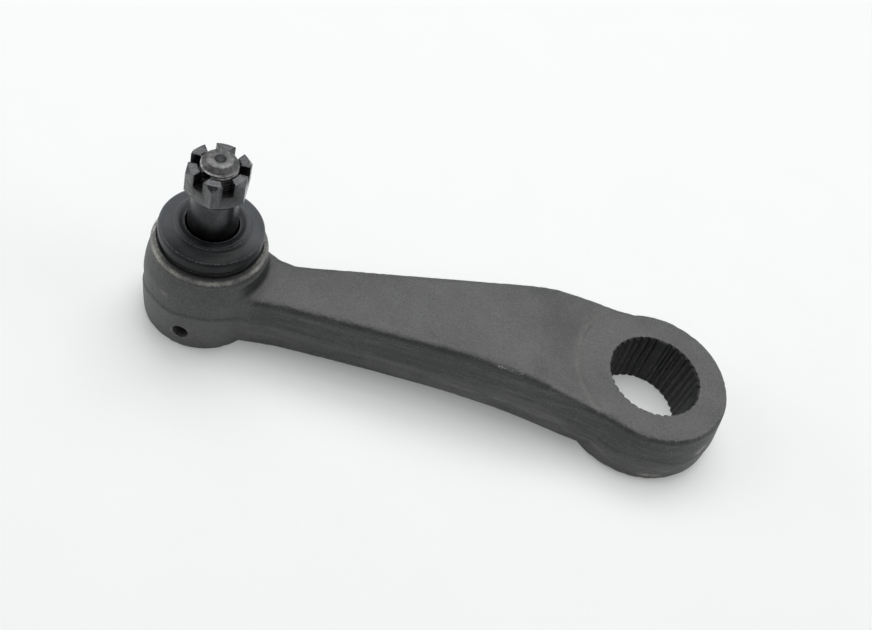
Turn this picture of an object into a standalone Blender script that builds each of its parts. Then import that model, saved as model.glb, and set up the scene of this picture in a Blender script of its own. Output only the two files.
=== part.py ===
# Pitman arm with its ball joint: a single forging from the splined eye to the ball housing, and the
# pieces that the housing carries. Metres, +Z up. The arm lies along X with the flat bottoms of the
# housing and the eye at z = 0. In the working frame the ball's axis is x = 0 and the bore's axis is
# x = ARM_LENGTH. One empty carries everything, so the finished model is centred on X and Y.
import math

import bmesh
import bpy
import numpy as np
from mathutils import Matrix, Vector

# The forging's reach, and the running gap between neighbouring pieces
ARM_LENGTH = 0.160
FIT_GAP = 0.0003

# Splined eye
EYE_THICKNESS = 0.02254
EYE_PARTING_RADIUS = 0.0294
EYE_PARTING_HEIGHT = 0.0090
EYE_TOP_RADIUS = 0.0275
EYE_BASE_RADIUS = 0.02945
EYE_EDGE_RADIUS = 0.0018
CREST_RADIUS_TOP = 0.0161
CREST_RADIUS_BASE = 0.0150
TOOTH_COUNT = 36
BLIND_COUNT = 4
TOOTH_DEPTH = 0.0011
TOOTH_CREST_SHARE = 0.26
TOOTH_ROOT_SHARE = 0.20
SPLINE_ANGLE = math.radians(78.9)
BORE_CHAMFER = 0.0007

# Ball housing
HOUSING_RADIUS = 0.0210
HOUSING_WIDEST_HEIGHT = 0.0175
HOUSING_BASE_RADIUS = 0.0200
HOUSING_TOP_RADIUS = 0.0193
HOUSING_RIM_HEIGHT = 0.0366
HOUSING_BASE_EDGE = 0.0015
RIM_BAND_HEIGHT = 0.0048
RIM_GROOVE_DEPTH = 0.0003
RIM_GROOVE_HEIGHT = 0.0007
RIM_RADIUS = 0.01935
RIM_EDGE_RADIUS = 0.0010
RIM_CHAMFER_WIDTH = 0.0012
RIM_CHAMFER_HEIGHT = 0.0017
SPIGOT_RADIUS = 0.0138
SPIGOT_RISE = 0.0018
MOUTH_RADIUS = 0.0128
CAVITY_RADIUS = 0.0154
COVER_SEAT_DEPTH = 0.0030
COVER_SEAT_LEDGE = 0.0008
STAKED_LIP_THICKNESS = 0.0006
STAKED_LIP_REACH = 0.0006

# Grease port in the housing wall
PORT_DIAMETER = 0.0056
PORT_HEIGHT = 0.0089
PORT_ANGLE = math.radians(-98.7)

# Shank between the housing and the eye: walls measured from the centre line, heights from the floor
NECK_DISTANCE = 0.0300
NECK_FAR_WALL = 0.0070
NECK_NEAR_WALL = 0.0132
NECK_TOP = 0.0255
NECK_BOTTOM = 0.0010
FAR_FLARE = 0.0050
NEAR_FLARE = 0.0008
FLARE_LENGTH = 0.0125
HOLLOW_DISTANCE = 0.0520
HOLLOW_BOTTOM = 0.0030
BEND_SETBACK = 0.0510
BEND_SKEW = math.radians(19.0)
BEND_FAR_WALL = 0.0211
BEND_NEAR_WALL = 0.0183
BEND_TOP = 0.0300
BEND_BOTTOM = 0.0040
BEND_ROUNDING_SHARE = 0.25
SHOULDER_SETBACK = 0.0220
SHOULDER_FAR_WALL = 0.0264
SHOULDER_NEAR_WALL = 0.0219
SHOULDER_BOTTOM = 0.0018
EYE_FAR_WALL = 0.0262
EYE_NEAR_WALL = 0.0260
PAD_RADIUS = 0.0288
PAD_STEP = 0.0004
TOP_EDGE_RADIUS = 0.0025
BOTTOM_EDGE_RADIUS = 0.0030
WALL_DRAFT = math.radians(5.0)
NECK_PARTING_SHARE = 0.58
EYE_PARTING_SHARE = 0.40

# Ball stud
BALL_RADIUS = 0.0125
BALL_HEIGHT = 0.0190
STUD_NECK_RADIUS = 0.0068
NECK_STANDOFF = 0.0026
NECK_CONE_LENGTH = 0.0028
TAPER_LENGTH = 0.0142
TAPER_TOP_RADIUS = 0.00744
TAPER_RATE = 1.0 / 16.0
THREAD_RADIUS = 0.0060
THREAD_RUNOUT = 0.0012
STUD_PROTRUSION = 0.0028
STUD_END_CHAMFER = 0.0013
CENTRE_DRILL_RADIUS = 0.0019
CENTRE_DRILL_DEPTH = 0.0008
PIN_HOLE_DIAMETER = 0.0032
PIN_HOLE_DROP = 0.0011
PIN_HOLE_ANGLE = math.radians(-119.0)

# Bearings, preload spring and cover plate
SPLIT_HALF_GAP = 0.0003
LOWER_BEARING_FLOOR = 0.0016
UPPER_BEARING_LENGTH = 0.0080
SPRING_BORE_RADIUS = 0.0075
SPRING_THICKNESS = 0.0007
SPRING_RISE = 0.0006
COVER_THICKNESS = 0.0018
COVER_DISH_DEPTH = 0.0006
COVER_DISH_RADIUS = 0.0095

# Dust boot and its press-on ring
RING_THICKNESS = 0.0008
BOOT_WALL = 0.0016
BOOT_RADIUS = 0.0173
BOOT_SHOULDER_RISE = 0.0064
BOOT_SHOULDER_EDGE = 0.0018
BOOT_VALLEY_RADIUS = 0.0134
BOOT_VALLEY_DEPTH = 0.0002
BOOT_CROWN_RADIUS = 0.0110
BOOT_CROWN_RISE = 0.0015
BOOT_LIP_THICKNESS = 0.0018

# Castle nut
NUT_ACROSS_FLATS = 0.0186
NUT_STANDOFF = 0.0010
NUT_HEIGHT = 0.0099
NUT_SLOT_WIDTH = 0.0037
NUT_SLOT_DEPTH = 0.0050
NUT_TOP_CHAMFER_RADIUS = 0.0094
NUT_BASE_CHAMFER_RADIUS = 0.0092
NUT_CHAMFER_SLOPE = 1.3
NUT_CORNER_ANGLE = math.radians(-89.0)
NUT_BORE_CHAMFER = 0.0006

# Facets
BOSS_FACETS = 72
FINE_FACETS = 48
SHANK_STATIONS = 26
HOUSING_ROWS = 5
TOP_COLUMNS = 8
EDGE_STEPS = 3
OVERCUT = 0.0010
MERGE_DISTANCE = 0.000001

# Sizes that follow from the ones above
EYE_REACH = ARM_LENGTH + EYE_PARTING_RADIUS
FRAME_CENTRE = (EYE_REACH - HOUSING_RADIUS) / 2
SPIGOT_TOP = HOUSING_RIM_HEIGHT + SPIGOT_RISE
HOUSING_TOP_HEIGHT = HOUSING_RIM_HEIGHT - RIM_BAND_HEIGHT
SOCKET_RADIUS = BALL_RADIUS + FIT_GAP
UPPER_BEARING_TOP = BALL_HEIGHT + UPPER_BEARING_LENGTH
CAVITY_TOP = UPPER_BEARING_TOP + FIT_GAP
COVER_SEAT_RADIUS = CAVITY_RADIUS + COVER_SEAT_LEDGE
COVER_BASE = STAKED_LIP_THICKNESS + FIT_GAP
LOWER_BEARING_BASE = BALL_HEIGHT - SOCKET_RADIUS - LOWER_BEARING_FLOOR
BOOT_SHOULDER_HEIGHT = HOUSING_RIM_HEIGHT + BOOT_SHOULDER_RISE
BOOT_TOP_HEIGHT = BOOT_SHOULDER_HEIGHT + BOOT_CROWN_RISE
NECK_END_HEIGHT = SPIGOT_TOP + NECK_STANDOFF
TAPER_BASE_HEIGHT = NECK_END_HEIGHT + NECK_CONE_LENGTH
TAPER_TOP_HEIGHT = TAPER_BASE_HEIGHT + TAPER_LENGTH
THREAD_START_HEIGHT = TAPER_TOP_HEIGHT + THREAD_RUNOUT
NUT_BASE_HEIGHT = THREAD_START_HEIGHT + NUT_STANDOFF
NUT_TOP_HEIGHT = NUT_BASE_HEIGHT + NUT_HEIGHT
STUD_END_HEIGHT = NUT_TOP_HEIGHT + STUD_PROTRUSION
PIN_HOLE_HEIGHT = NUT_TOP_HEIGHT - PIN_HOLE_DROP
NUT_CORNER_RADIUS = NUT_ACROSS_FLATS / math.sqrt(3)
NUT_BORE_RADIUS = THREAD_RADIUS + FIT_GAP
SHANK_START = CAVITY_RADIUS * 0.4
SHANK_END = ARM_LENGTH - CREST_RADIUS_BASE * 0.4
FLARE_START = HOUSING_RADIUS * 0.8


def clear_scene():
    for item in list(bpy.data.objects):
        bpy.data.objects.remove(item, do_unlink=True)


def arc(centre_radius, centre_height, radius, start, end, steps):
    # Points (radius, height) on a circular arc of a turned profile
    points = []
    for step in range(steps + 1):
        angle = math.radians(start + (end - start) * step / steps)
        points.append((centre_radius + radius * math.cos(angle), centre_height + radius * math.sin(angle)))
    return points


def through(stations, place):
    # Smooth curve through (place, value) stations, level beyond both ends
    places, values = (np.array(row) for row in zip(*stations))
    slopes = np.gradient(values, places)
    place = min(max(place, places[0]), places[-1])
    index = min(int(np.searchsorted(places, place, side="right")), len(places) - 1) - 1
    span = places[index + 1] - places[index]
    share = (place - places[index]) / span
    rise = values[index + 1] - values[index]
    start_bend = slopes[index] * span - rise
    end_bend = rise - slopes[index + 1] * span
    bend = share * (1 - share) * ((1 - share) * start_bend + share * end_bend)
    return float(values[index] + rise * share + bend)


def finish_mesh(name, bm):
    bmesh.ops.remove_doubles(bm, verts=bm.verts, dist=MERGE_DISTANCE)
    bmesh.ops.recalc_face_normals(bm, faces=bm.faces)
    mesh = bpy.data.meshes.new(name)
    bm.to_mesh(mesh)
    bm.free()
    mesh.shade_smooth()
    mesh.set_sharp_from_angle(angle=math.radians(32))
    part = bpy.data.objects.new(name, mesh)
    bpy.context.scene.collection.objects.link(part)
    return part


def turned(name, profile, facets):
    # Solid of revolution about Z; a profile that leaves the axis open at both ends is closed into a ring
    bm = bmesh.new()
    verts = [bm.verts.new((radius, 0.0, height)) for radius, height in profile]
    edges = [bm.edges.new(pair) for pair in zip(verts, verts[1:])]
    if profile[0][0] > MERGE_DISTANCE:
        edges.append(bm.edges.new((verts[-1], verts[0])))
    bmesh.ops.spin(
        bm, geom=verts + edges, cent=(0, 0, 0), axis=(0, 0, 1),
        angle=2 * math.pi, steps=facets, use_merge=True)
    return finish_mesh(name, bm)


def lofted(name, loops):
    # Solid through matching loops of points, capped at both ends
    bm = bmesh.new()
    rings = [[bm.verts.new(point) for point in loop] for loop in loops]
    count = len(rings[0])
    for ring, following in zip(rings, rings[1:]):
        for index in range(count):
            after = (index + 1) % count
            bm.faces.new((ring[index], ring[after], following[after], following[index]))
    for ring in (rings[0], rings[-1]):
        middle = bm.verts.new(sum((vert.co for vert in ring), Vector()) / count)
        for index in range(count):
            bm.faces.new((ring[index], ring[(index + 1) % count], middle))
    bmesh.ops.triangulate(bm, faces=bm.faces)
    return finish_mesh(name, bm)


def drill(name, radius, start, length, facets):
    # Straight round cutter along local X, from start for the given length
    cutter = turned(name, [(0, start), (radius, start), (radius, start + length), (0, start + length)], facets)
    cutter.data.transform(Matrix.Rotation(math.radians(90), 4, "Y"))
    return cutter


def combine(part, other, operation):
    # Boolean with a helper solid, which is kept out of the finished model
    other.hide_render = True
    other.display_type = "WIRE"
    modifier = part.modifiers.new(other.name, "BOOLEAN")
    modifier.operation = operation
    modifier.solver = "EXACT"
    modifier.object = other


def place(part, parent, location=(0, 0, 0), turn=0.0):
    part.parent = parent
    part.location = location
    part.rotation_euler = (0, 0, turn)


def finish(part, name, colour, roughness, metallic):
    material = bpy.data.materials.get(name) or bpy.data.materials.new(name)
    material.use_nodes = True
    shader = material.node_tree.nodes["Principled BSDF"]
    shader.inputs["Base Color"].default_value = (*colour, 1.0)
    shader.inputs["Roughness"].default_value = roughness
    shader.inputs["Metallic"].default_value = metallic
    part.data.materials.append(material)


def forged_black(part):
    finish(part, "forged_black", (0.045, 0.044, 0.043), 0.62, 0.35)


def oiled_black_steel(part):
    finish(part, "oiled_black_steel", (0.020, 0.021, 0.023), 0.34, 0.70)


def bearing_steel(part):
    finish(part, "bearing_steel", (0.34, 0.34, 0.35), 0.30, 1.0)


def bearing_resin(part):
    finish(part, "bearing_resin", (0.55, 0.52, 0.42), 0.45, 0.0)


def boot_rubber(part):
    finish(part, "boot_rubber", (0.016, 0.018, 0.020), 0.42, 0.0)


def far_wall(x):
    bend = ARM_LENGTH - BEND_SETBACK
    shoulder = ARM_LENGTH - SHOULDER_SETBACK
    straight = through(
        ((NECK_DISTANCE, NECK_FAR_WALL), (bend, BEND_FAR_WALL),
         (shoulder, SHOULDER_FAR_WALL), (ARM_LENGTH, EYE_FAR_WALL)), x)
    return straight + flare(x, FAR_FLARE)


def near_wall(x):
    bend = ARM_LENGTH - BEND_SETBACK
    shoulder = ARM_LENGTH - SHOULDER_SETBACK
    straight = through(
        ((NECK_DISTANCE, NECK_NEAR_WALL), (bend, BEND_NEAR_WALL),
         (shoulder, SHOULDER_NEAR_WALL), (ARM_LENGTH, EYE_NEAR_WALL)), x)
    return straight + flare(x, NEAR_FLARE)


def flare(x, width):
    # Forged fillet where the shank runs out of the round housing
    share = min(max((x - FLARE_START) / FLARE_LENGTH, 0.0), 1.0)
    return width * (1 - share) ** 2


def bottom_height(x):
    bend = ARM_LENGTH - BEND_SETBACK
    shoulder = ARM_LENGTH - SHOULDER_SETBACK
    return through(
        ((HOUSING_RADIUS, NECK_BOTTOM), (HOLLOW_DISTANCE, HOLLOW_BOTTOM), (bend, BEND_BOTTOM),
         (shoulder, SHOULDER_BOTTOM), (ARM_LENGTH, SHOULDER_BOTTOM)), x)


def top_height(x, y):
    # The top climbs to a skewed bend, then falls as a ruled slope to the flat round pad of the eye
    bend = ARM_LENGTH - BEND_SETBACK
    climb = min(max((x - HOUSING_RADIUS) / (bend - HOUSING_RADIUS), 0.0), 1.0)
    ridge = NECK_TOP + (BEND_TOP - NECK_TOP) * climb
    past_bend = (x - bend) * math.cos(BEND_SKEW) - y * math.sin(BEND_SKEW)
    before_pad = math.hypot(x - ARM_LENGTH, y) - PAD_RADIUS
    pad_edge = EYE_THICKNESS + PAD_STEP
    if before_pad <= 0:
        return pad_edge
    if past_bend <= 0:
        return ridge
    fall = past_bend / (past_bend + before_pad)
    rounding = BEND_ROUNDING_SHARE
    if fall < rounding:
        fall = fall * fall / (2 * rounding)
    else:
        fall = fall - rounding / 2
    return ridge + (pad_edge - ridge) * fall / (1 - rounding / 2)


def parting_height(x):
    along = (x - HOUSING_RADIUS) / (ARM_LENGTH - HOUSING_RADIUS)
    share = NECK_PARTING_SHARE + (EYE_PARTING_SHARE - NECK_PARTING_SHARE) * min(max(along, 0.0), 1.0)
    bottom = bottom_height(x)
    return bottom + (top_height(x, 0.0) - bottom) * share


def wall_points(x, side, width):
    # One side of a shank section from the top down, as (y, z): edge arc, drafted walls, edge arc
    draft = math.tan(WALL_DRAFT)
    top_centre = side * (width - TOP_EDGE_RADIUS)
    top = top_height(x, top_centre) - TOP_EDGE_RADIUS
    parting = parting_height(x)
    bottom = bottom_height(x) + BOTTOM_EDGE_RADIUS
    widest = width + (top - parting) * draft
    foot = widest - (parting - bottom) * draft
    points = []
    for across, height in arc(width - TOP_EDGE_RADIUS, top, TOP_EDGE_RADIUS, 90, 0, EDGE_STEPS):
        points.append((side * across, height))
    points.append((side * widest, parting))
    for across, height in arc(foot - BOTTOM_EDGE_RADIUS, bottom, BOTTOM_EDGE_RADIUS, 0, -90, EDGE_STEPS):
        points.append((side * across, height))
    return points


def shank_section(x):
    far = wall_points(x, 1, far_wall(x))
    near = wall_points(x, -1, near_wall(x))
    first = near[0][0]
    last = far[0][0]
    top = []
    for column in range(1, TOP_COLUMNS):
        y = first + (last - first) * column / TOP_COLUMNS
        top.append((y, top_height(x, y)))
    outline = top + far + near[::-1]
    return [(x, y, z) for y, z in outline]


def make_shank():
    length = SHANK_END - SHANK_START
    stations = [SHANK_START + length * step / SHANK_STATIONS for step in range(SHANK_STATIONS + 1)]
    return lofted("shank", [shank_section(x) for x in stations])


def barrel_radius(height):
    # Widest part way up, drawn in towards the base and further in towards the rim
    offset = height - HOUSING_WIDEST_HEIGHT
    if offset < 0:
        reach = HOUSING_WIDEST_HEIGHT - HOUSING_BASE_EDGE
        drop = HOUSING_RADIUS - HOUSING_BASE_RADIUS
    else:
        reach = HOUSING_TOP_HEIGHT - HOUSING_WIDEST_HEIGHT
        drop = HOUSING_RADIUS - HOUSING_TOP_RADIUS
    return HOUSING_RADIUS - drop * (offset / reach) ** 2


def make_housing_blank():
    # Barrel-shaped boss, a groove under its chamfered rim, and the spigot that the boot is pressed on
    edge = HOUSING_BASE_EDGE
    profile = [(0, 0)]
    profile += arc(HOUSING_BASE_RADIUS - edge, edge, edge, -90, 0, EDGE_STEPS)
    for row in range(1, HOUSING_ROWS + 1):
        height = edge + (HOUSING_TOP_HEIGHT - edge) * row / HOUSING_ROWS
        profile.append((barrel_radius(height), height))
    groove = HOUSING_TOP_HEIGHT + RIM_GROOVE_HEIGHT
    rounding = RIM_EDGE_RADIUS
    inner = RIM_RADIUS - rounding - RIM_CHAMFER_WIDTH
    top = HOUSING_RIM_HEIGHT - rounding
    profile += [(HOUSING_TOP_RADIUS - RIM_GROOVE_DEPTH, groove), (RIM_RADIUS, groove + RIM_GROOVE_HEIGHT)]
    profile += arc(RIM_RADIUS - rounding, top - RIM_CHAMFER_HEIGHT, rounding, 0, 45, EDGE_STEPS)
    profile += arc(inner, top, rounding, 45, 90, EDGE_STEPS)
    profile += [(SPIGOT_RADIUS, HOUSING_RIM_HEIGHT), (SPIGOT_RADIUS, SPIGOT_TOP), (0, SPIGOT_TOP)]
    return turned("housing_blank", profile, BOSS_FACETS)


def make_cavity():
    # Everything that is bored out of the housing, from the staked lip up to the open mouth
    lip = COVER_SEAT_RADIUS - STAKED_LIP_REACH
    profile = [
        (0, -OVERCUT), (lip, -OVERCUT), (lip, STAKED_LIP_THICKNESS),
        (COVER_SEAT_RADIUS, STAKED_LIP_THICKNESS), (COVER_SEAT_RADIUS, COVER_SEAT_DEPTH),
        (CAVITY_RADIUS, COVER_SEAT_DEPTH), (CAVITY_RADIUS, CAVITY_TOP),
        (MOUTH_RADIUS, CAVITY_TOP), (MOUTH_RADIUS, SPIGOT_TOP + OVERCUT), (0, SPIGOT_TOP + OVERCUT)]
    return turned("cavity", profile, BOSS_FACETS)


def make_eye_blank():
    # Drafted boss: widest at the parting line, narrower to the machined top face
    edge = EYE_EDGE_RADIUS
    profile = [(0, 0)]
    profile += arc(EYE_BASE_RADIUS - edge, edge, edge, -90, 0, EDGE_STEPS)
    profile.append((EYE_PARTING_RADIUS, EYE_PARTING_HEIGHT))
    profile += arc(EYE_TOP_RADIUS - edge, EYE_THICKNESS - edge, edge, 0, 90, EDGE_STEPS)
    stock = EYE_THICKNESS + PAD_STEP + OVERCUT
    profile += [(EYE_TOP_RADIUS - edge, stock), (0, stock)]
    return turned("eye_blank", profile, BOSS_FACETS)


def make_pad_cutter():
    # Facing cut that leaves the eye's flat round pad, a small step below the slope of the shank
    return turned("pad_cutter", [
        (0, EYE_THICKNESS), (PAD_RADIUS, EYE_THICKNESS),
        (PAD_RADIUS, BEND_TOP + OVERCUT), (0, BEND_TOP + OVERCUT)], BOSS_FACETS)


def crest_radius(height):
    taper = (CREST_RADIUS_TOP - CREST_RADIUS_BASE) / EYE_THICKNESS
    return CREST_RADIUS_BASE + taper * height


def broach_loop(height):
    # Outline of the tapered spline at one height; a blind space stays uncut and leaves one wide tooth
    pitch = 2 * math.pi / TOOTH_COUNT
    crest = crest_radius(height)
    half_space = pitch * (1 - TOOTH_CREST_SHARE) / 2
    half_root = pitch * TOOTH_ROOT_SHARE / 2
    points = []
    for space in range(TOOTH_COUNT):
        middle = SPLINE_ANGLE + space * pitch
        blind = space % (TOOTH_COUNT // BLIND_COUNT) == 0
        root = crest if blind else crest + TOOTH_DEPTH
        for angle, radius in ((-half_space, crest), (-half_root, root), (half_root, root), (half_space, crest)):
            turn = middle + angle
            points.append((radius * math.cos(turn), radius * math.sin(turn), height))
    return points


def make_broach():
    return lofted("spline_broach", [broach_loop(-OVERCUT), broach_loop(EYE_THICKNESS + OVERCUT)])


def make_bore_chamfer(name, face, outward):
    # Countersink that leads the shaft into the bore; outward is +1 at the top face, -1 at the bottom
    crest = crest_radius(face)
    inner = (crest - OVERCUT, face - outward * (BORE_CHAMFER + OVERCUT))
    outer = (crest + BORE_CHAMFER + OVERCUT, face + outward * OVERCUT)
    return turned(name, [(0, inner[1]), inner, outer, (0, outer[1])], BOSS_FACETS)


def make_arm_forging(frame):
    arm = make_shank()
    arm.name = "arm_forging"
    arm.data.name = "arm_forging"
    place(arm, frame)
    forged_black(arm)
    eye_centre = (ARM_LENGTH, 0, 0)
    eye = make_eye_blank()
    place(eye, frame, eye_centre)
    combine(arm, eye, "UNION")
    cutters = (
        make_pad_cutter(),
        make_broach(),
        make_bore_chamfer("bore_lead_top", EYE_THICKNESS, 1),
        make_bore_chamfer("bore_lead_bottom", 0.0, -1))
    for cutter in cutters:
        place(cutter, frame, eye_centre)
        combine(arm, cutter, "DIFFERENCE")
    housing = make_housing_blank()
    place(housing, frame)
    combine(arm, housing, "UNION")
    cavity = make_cavity()
    place(cavity, frame)
    combine(arm, cavity, "DIFFERENCE")
    port_start = CAVITY_RADIUS - OVERCUT
    port = drill("grease_port", PORT_DIAMETER / 2, port_start, HOUSING_RADIUS + OVERCUT - port_start, 24)
    place(port, frame, (0, 0, PORT_HEIGHT), PORT_ANGLE)
    combine(arm, port, "DIFFERENCE")
    return arm


def taper_radius(height):
    return TAPER_TOP_RADIUS + (TAPER_TOP_HEIGHT - height) * TAPER_RATE


def make_ball_stud(frame):
    # Ball, neck, tapered seat and threaded end in one turned piece, with its origin at the ball's centre
    neck_angle = math.degrees(math.acos(STUD_NECK_RADIUS / BALL_RADIUS))
    profile = arc(0, BALL_HEIGHT, BALL_RADIUS, -90, neck_angle, 16)
    profile[0] = (0, BALL_HEIGHT - BALL_RADIUS)
    profile += [
        (STUD_NECK_RADIUS, NECK_END_HEIGHT),
        (taper_radius(TAPER_BASE_HEIGHT), TAPER_BASE_HEIGHT),
        (TAPER_TOP_RADIUS, TAPER_TOP_HEIGHT),
        (THREAD_RADIUS, THREAD_START_HEIGHT),
        (THREAD_RADIUS, STUD_END_HEIGHT - STUD_END_CHAMFER),
        (THREAD_RADIUS - STUD_END_CHAMFER, STUD_END_HEIGHT),
        (CENTRE_DRILL_RADIUS, STUD_END_HEIGHT),
        (0, STUD_END_HEIGHT - CENTRE_DRILL_DEPTH)]
    stud = turned("ball_stud", [(radius, height - BALL_HEIGHT) for radius, height in profile], FINE_FACETS)
    place(stud, frame, (0, 0, BALL_HEIGHT))
    oiled_black_steel(stud)
    reach = THREAD_RADIUS + OVERCUT
    pin_hole = drill("pin_hole", PIN_HOLE_DIAMETER / 2, -reach, 2 * reach, 20)
    place(pin_hole, stud, (0, 0, PIN_HOLE_HEIGHT - BALL_HEIGHT), PIN_HOLE_ANGLE)
    combine(stud, pin_hole, "DIFFERENCE")
    return stud


def make_upper_bearing(frame):
    # Fixed seat that the ball is pulled against, opened out to clear the tilting neck
    base = BALL_HEIGHT + SPLIT_HALF_GAP
    outer = CAVITY_RADIUS - FIT_GAP
    start = math.degrees(math.asin(SPLIT_HALF_GAP / SOCKET_RADIUS))
    end = math.degrees(math.asin(UPPER_BEARING_LENGTH / SOCKET_RADIUS))
    profile = arc(0, BALL_HEIGHT, SOCKET_RADIUS, end, start, 7)
    profile += [(outer, base), (outer, UPPER_BEARING_TOP)]
    bearing = turned("upper_bearing", profile, FINE_FACETS)
    place(bearing, frame)
    bearing_resin(bearing)
    return bearing


def make_lower_bearing(frame):
    # Cup that turns with the ball and is pushed up by the spring
    outer = CAVITY_RADIUS - FIT_GAP
    start = math.degrees(math.asin(SPLIT_HALF_GAP / SOCKET_RADIUS))
    profile = [(0, LOWER_BEARING_BASE), (outer, LOWER_BEARING_BASE), (outer, BALL_HEIGHT - SPLIT_HALF_GAP)]
    profile += arc(0, BALL_HEIGHT, SOCKET_RADIUS, -start, -90, 10)
    profile[-1] = (0, BALL_HEIGHT - SOCKET_RADIUS)
    bearing = turned("lower_bearing", profile, FINE_FACETS)
    place(bearing, frame)
    bearing_resin(bearing)
    return bearing


def make_preload_spring(frame):
    # Coned disc spring between the cover plate and the lower bearing
    outer = CAVITY_RADIUS - 2 * FIT_GAP
    top = LOWER_BEARING_BASE - FIT_GAP
    low = top - SPRING_RISE
    spring = turned("preload_spring", [
        (SPRING_BORE_RADIUS, top - SPRING_THICKNESS), (outer, low - SPRING_THICKNESS),
        (outer, low), (SPRING_BORE_RADIUS, top)], FINE_FACETS)
    place(spring, frame)
    bearing_steel(spring)
    return spring


def make_cover_plate(frame):
    # Pressed disc held by the staked lip, dished inwards
    outer = COVER_SEAT_RADIUS - FIT_GAP
    top = COVER_BASE + COVER_THICKNESS
    inner = COVER_DISH_RADIUS - COVER_THICKNESS
    cover = turned("cover_plate", [
        (0, COVER_BASE + COVER_DISH_DEPTH), (inner, COVER_BASE + COVER_DISH_DEPTH),
        (COVER_DISH_RADIUS, COVER_BASE), (outer, COVER_BASE), (outer, top),
        (0, top)], FINE_FACETS)
    place(cover, frame)
    oiled_black_steel(cover)
    return cover


def make_boot_ring(frame):
    # Steel ring inside the boot's bead, pressed over the housing's spigot
    inner = SPIGOT_RADIUS + FIT_GAP
    base = HOUSING_RIM_HEIGHT + FIT_GAP
    outer = inner + RING_THICKNESS
    ring = turned("boot_ring", [
        (inner, base), (outer, base), (outer, SPIGOT_TOP), (inner, SPIGOT_TOP)], FINE_FACETS)
    place(ring, frame)
    bearing_steel(ring)
    return ring


def make_dust_boot(frame):
    # Rubber cap: bead on the ring, rounded shoulder, shallow valley, raised crown, lip on the stud's taper
    bead_inner = SPIGOT_RADIUS + RING_THICKNESS + 2 * FIT_GAP
    base = HOUSING_RIM_HEIGHT + FIT_GAP
    edge = BOOT_SHOULDER_EDGE
    shoulder = BOOT_SHOULDER_HEIGHT
    crown = BOOT_TOP_HEIGHT
    lip_top = crown - FIT_GAP
    lip_base = lip_top - BOOT_LIP_THICKNESS
    wall_inner = BOOT_RADIUS - BOOT_WALL
    profile = [(bead_inner, base), (BOOT_RADIUS, base)]
    profile += arc(BOOT_RADIUS - edge, shoulder - edge, edge, 0, 90, EDGE_STEPS + 1)
    profile += [(BOOT_VALLEY_RADIUS, shoulder - BOOT_VALLEY_DEPTH), (BOOT_CROWN_RADIUS, crown)]
    profile += [(taper_radius(lip_top) + FIT_GAP, lip_top), (taper_radius(lip_base) + FIT_GAP, lip_base)]
    profile += [(BOOT_CROWN_RADIUS, lip_base), (BOOT_VALLEY_RADIUS, shoulder - BOOT_WALL)]
    profile += [(wall_inner, shoulder - 2 * BOOT_WALL), (bead_inner, SPIGOT_TOP + FIT_GAP)]
    boot = turned("dust_boot", profile, FINE_FACETS)
    place(boot, frame)
    boot_rubber(boot)
    return boot


def chamfer_envelope():
    # Turned solid that cuts the hexagon's corners back at both ends
    widest = NUT_CORNER_RADIUS + OVERCUT
    top_drop = (widest - NUT_TOP_CHAMFER_RADIUS) * NUT_CHAMFER_SLOPE
    base_rise = (widest - NUT_BASE_CHAMFER_RADIUS) / NUT_CHAMFER_SLOPE
    return turned("nut_envelope", [
        (0, 0), (NUT_BASE_CHAMFER_RADIUS, 0), (widest, base_rise),
        (widest, NUT_HEIGHT - top_drop), (NUT_TOP_CHAMFER_RADIUS, NUT_HEIGHT), (0, NUT_HEIGHT)], FINE_FACETS)


def make_slot_cutter(name):
    # Bar right across the nut, one cutter for two opposite slots
    bm = bmesh.new()
    bmesh.ops.create_cube(bm, size=1.0)
    length = 2 * (NUT_CORNER_RADIUS + OVERCUT)
    height = NUT_SLOT_DEPTH + OVERCUT
    bmesh.ops.scale(bm, verts=bm.verts, vec=(length, NUT_SLOT_WIDTH, height))
    bmesh.ops.translate(bm, verts=bm.verts, vec=(0, 0, NUT_HEIGHT - NUT_SLOT_DEPTH + height / 2))
    return finish_mesh(name, bm)


def make_castle_nut(stud):
    # Hexagon with chamfered corners, six slots centred on its flats and a countersunk bore
    end = NUT_HEIGHT + OVERCUT
    nut = turned("castle_nut", [
        (0, -OVERCUT), (NUT_CORNER_RADIUS, -OVERCUT), (NUT_CORNER_RADIUS, end), (0, end)], 6)
    place(nut, stud, (0, 0, NUT_BASE_HEIGHT - BALL_HEIGHT), NUT_CORNER_ANGLE)
    oiled_black_steel(nut)
    envelope = chamfer_envelope()
    place(envelope, nut)
    combine(nut, envelope, "INTERSECT")
    lead = NUT_BORE_RADIUS + NUT_BORE_CHAMFER + OVERCUT
    bore = turned("nut_bore", [
        (0, -OVERCUT), (lead, -OVERCUT), (NUT_BORE_RADIUS, NUT_BORE_CHAMFER),
        (NUT_BORE_RADIUS, NUT_HEIGHT - NUT_BORE_CHAMFER), (lead, end), (0, end)], FINE_FACETS)
    place(bore, nut)
    combine(nut, bore, "DIFFERENCE")
    for pair in range(3):
        slot = make_slot_cutter(f"nut_slot_{pair + 1}")
        place(slot, nut, (0, 0, 0), math.radians(30 + 60 * pair))
        combine(nut, slot, "DIFFERENCE")
    return nut


def main():
    clear_scene()
    frame = bpy.data.objects.new("arm_frame", None)
    frame.location = (-FRAME_CENTRE, 0, 0)
    bpy.context.scene.collection.objects.link(frame)
    make_arm_forging(frame)
    stud = make_ball_stud(frame)
    make_castle_nut(stud)
    make_upper_bearing(frame)
    make_lower_bearing(frame)
    make_preload_spring(frame)
    make_cover_plate(frame)
    make_boot_ring(frame)
    make_dust_boot(frame)


main()
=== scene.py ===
import math
from types import SimpleNamespace

import bmesh
import bpy
import numpy as np
from mathutils import Matrix, Vector, noise


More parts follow.
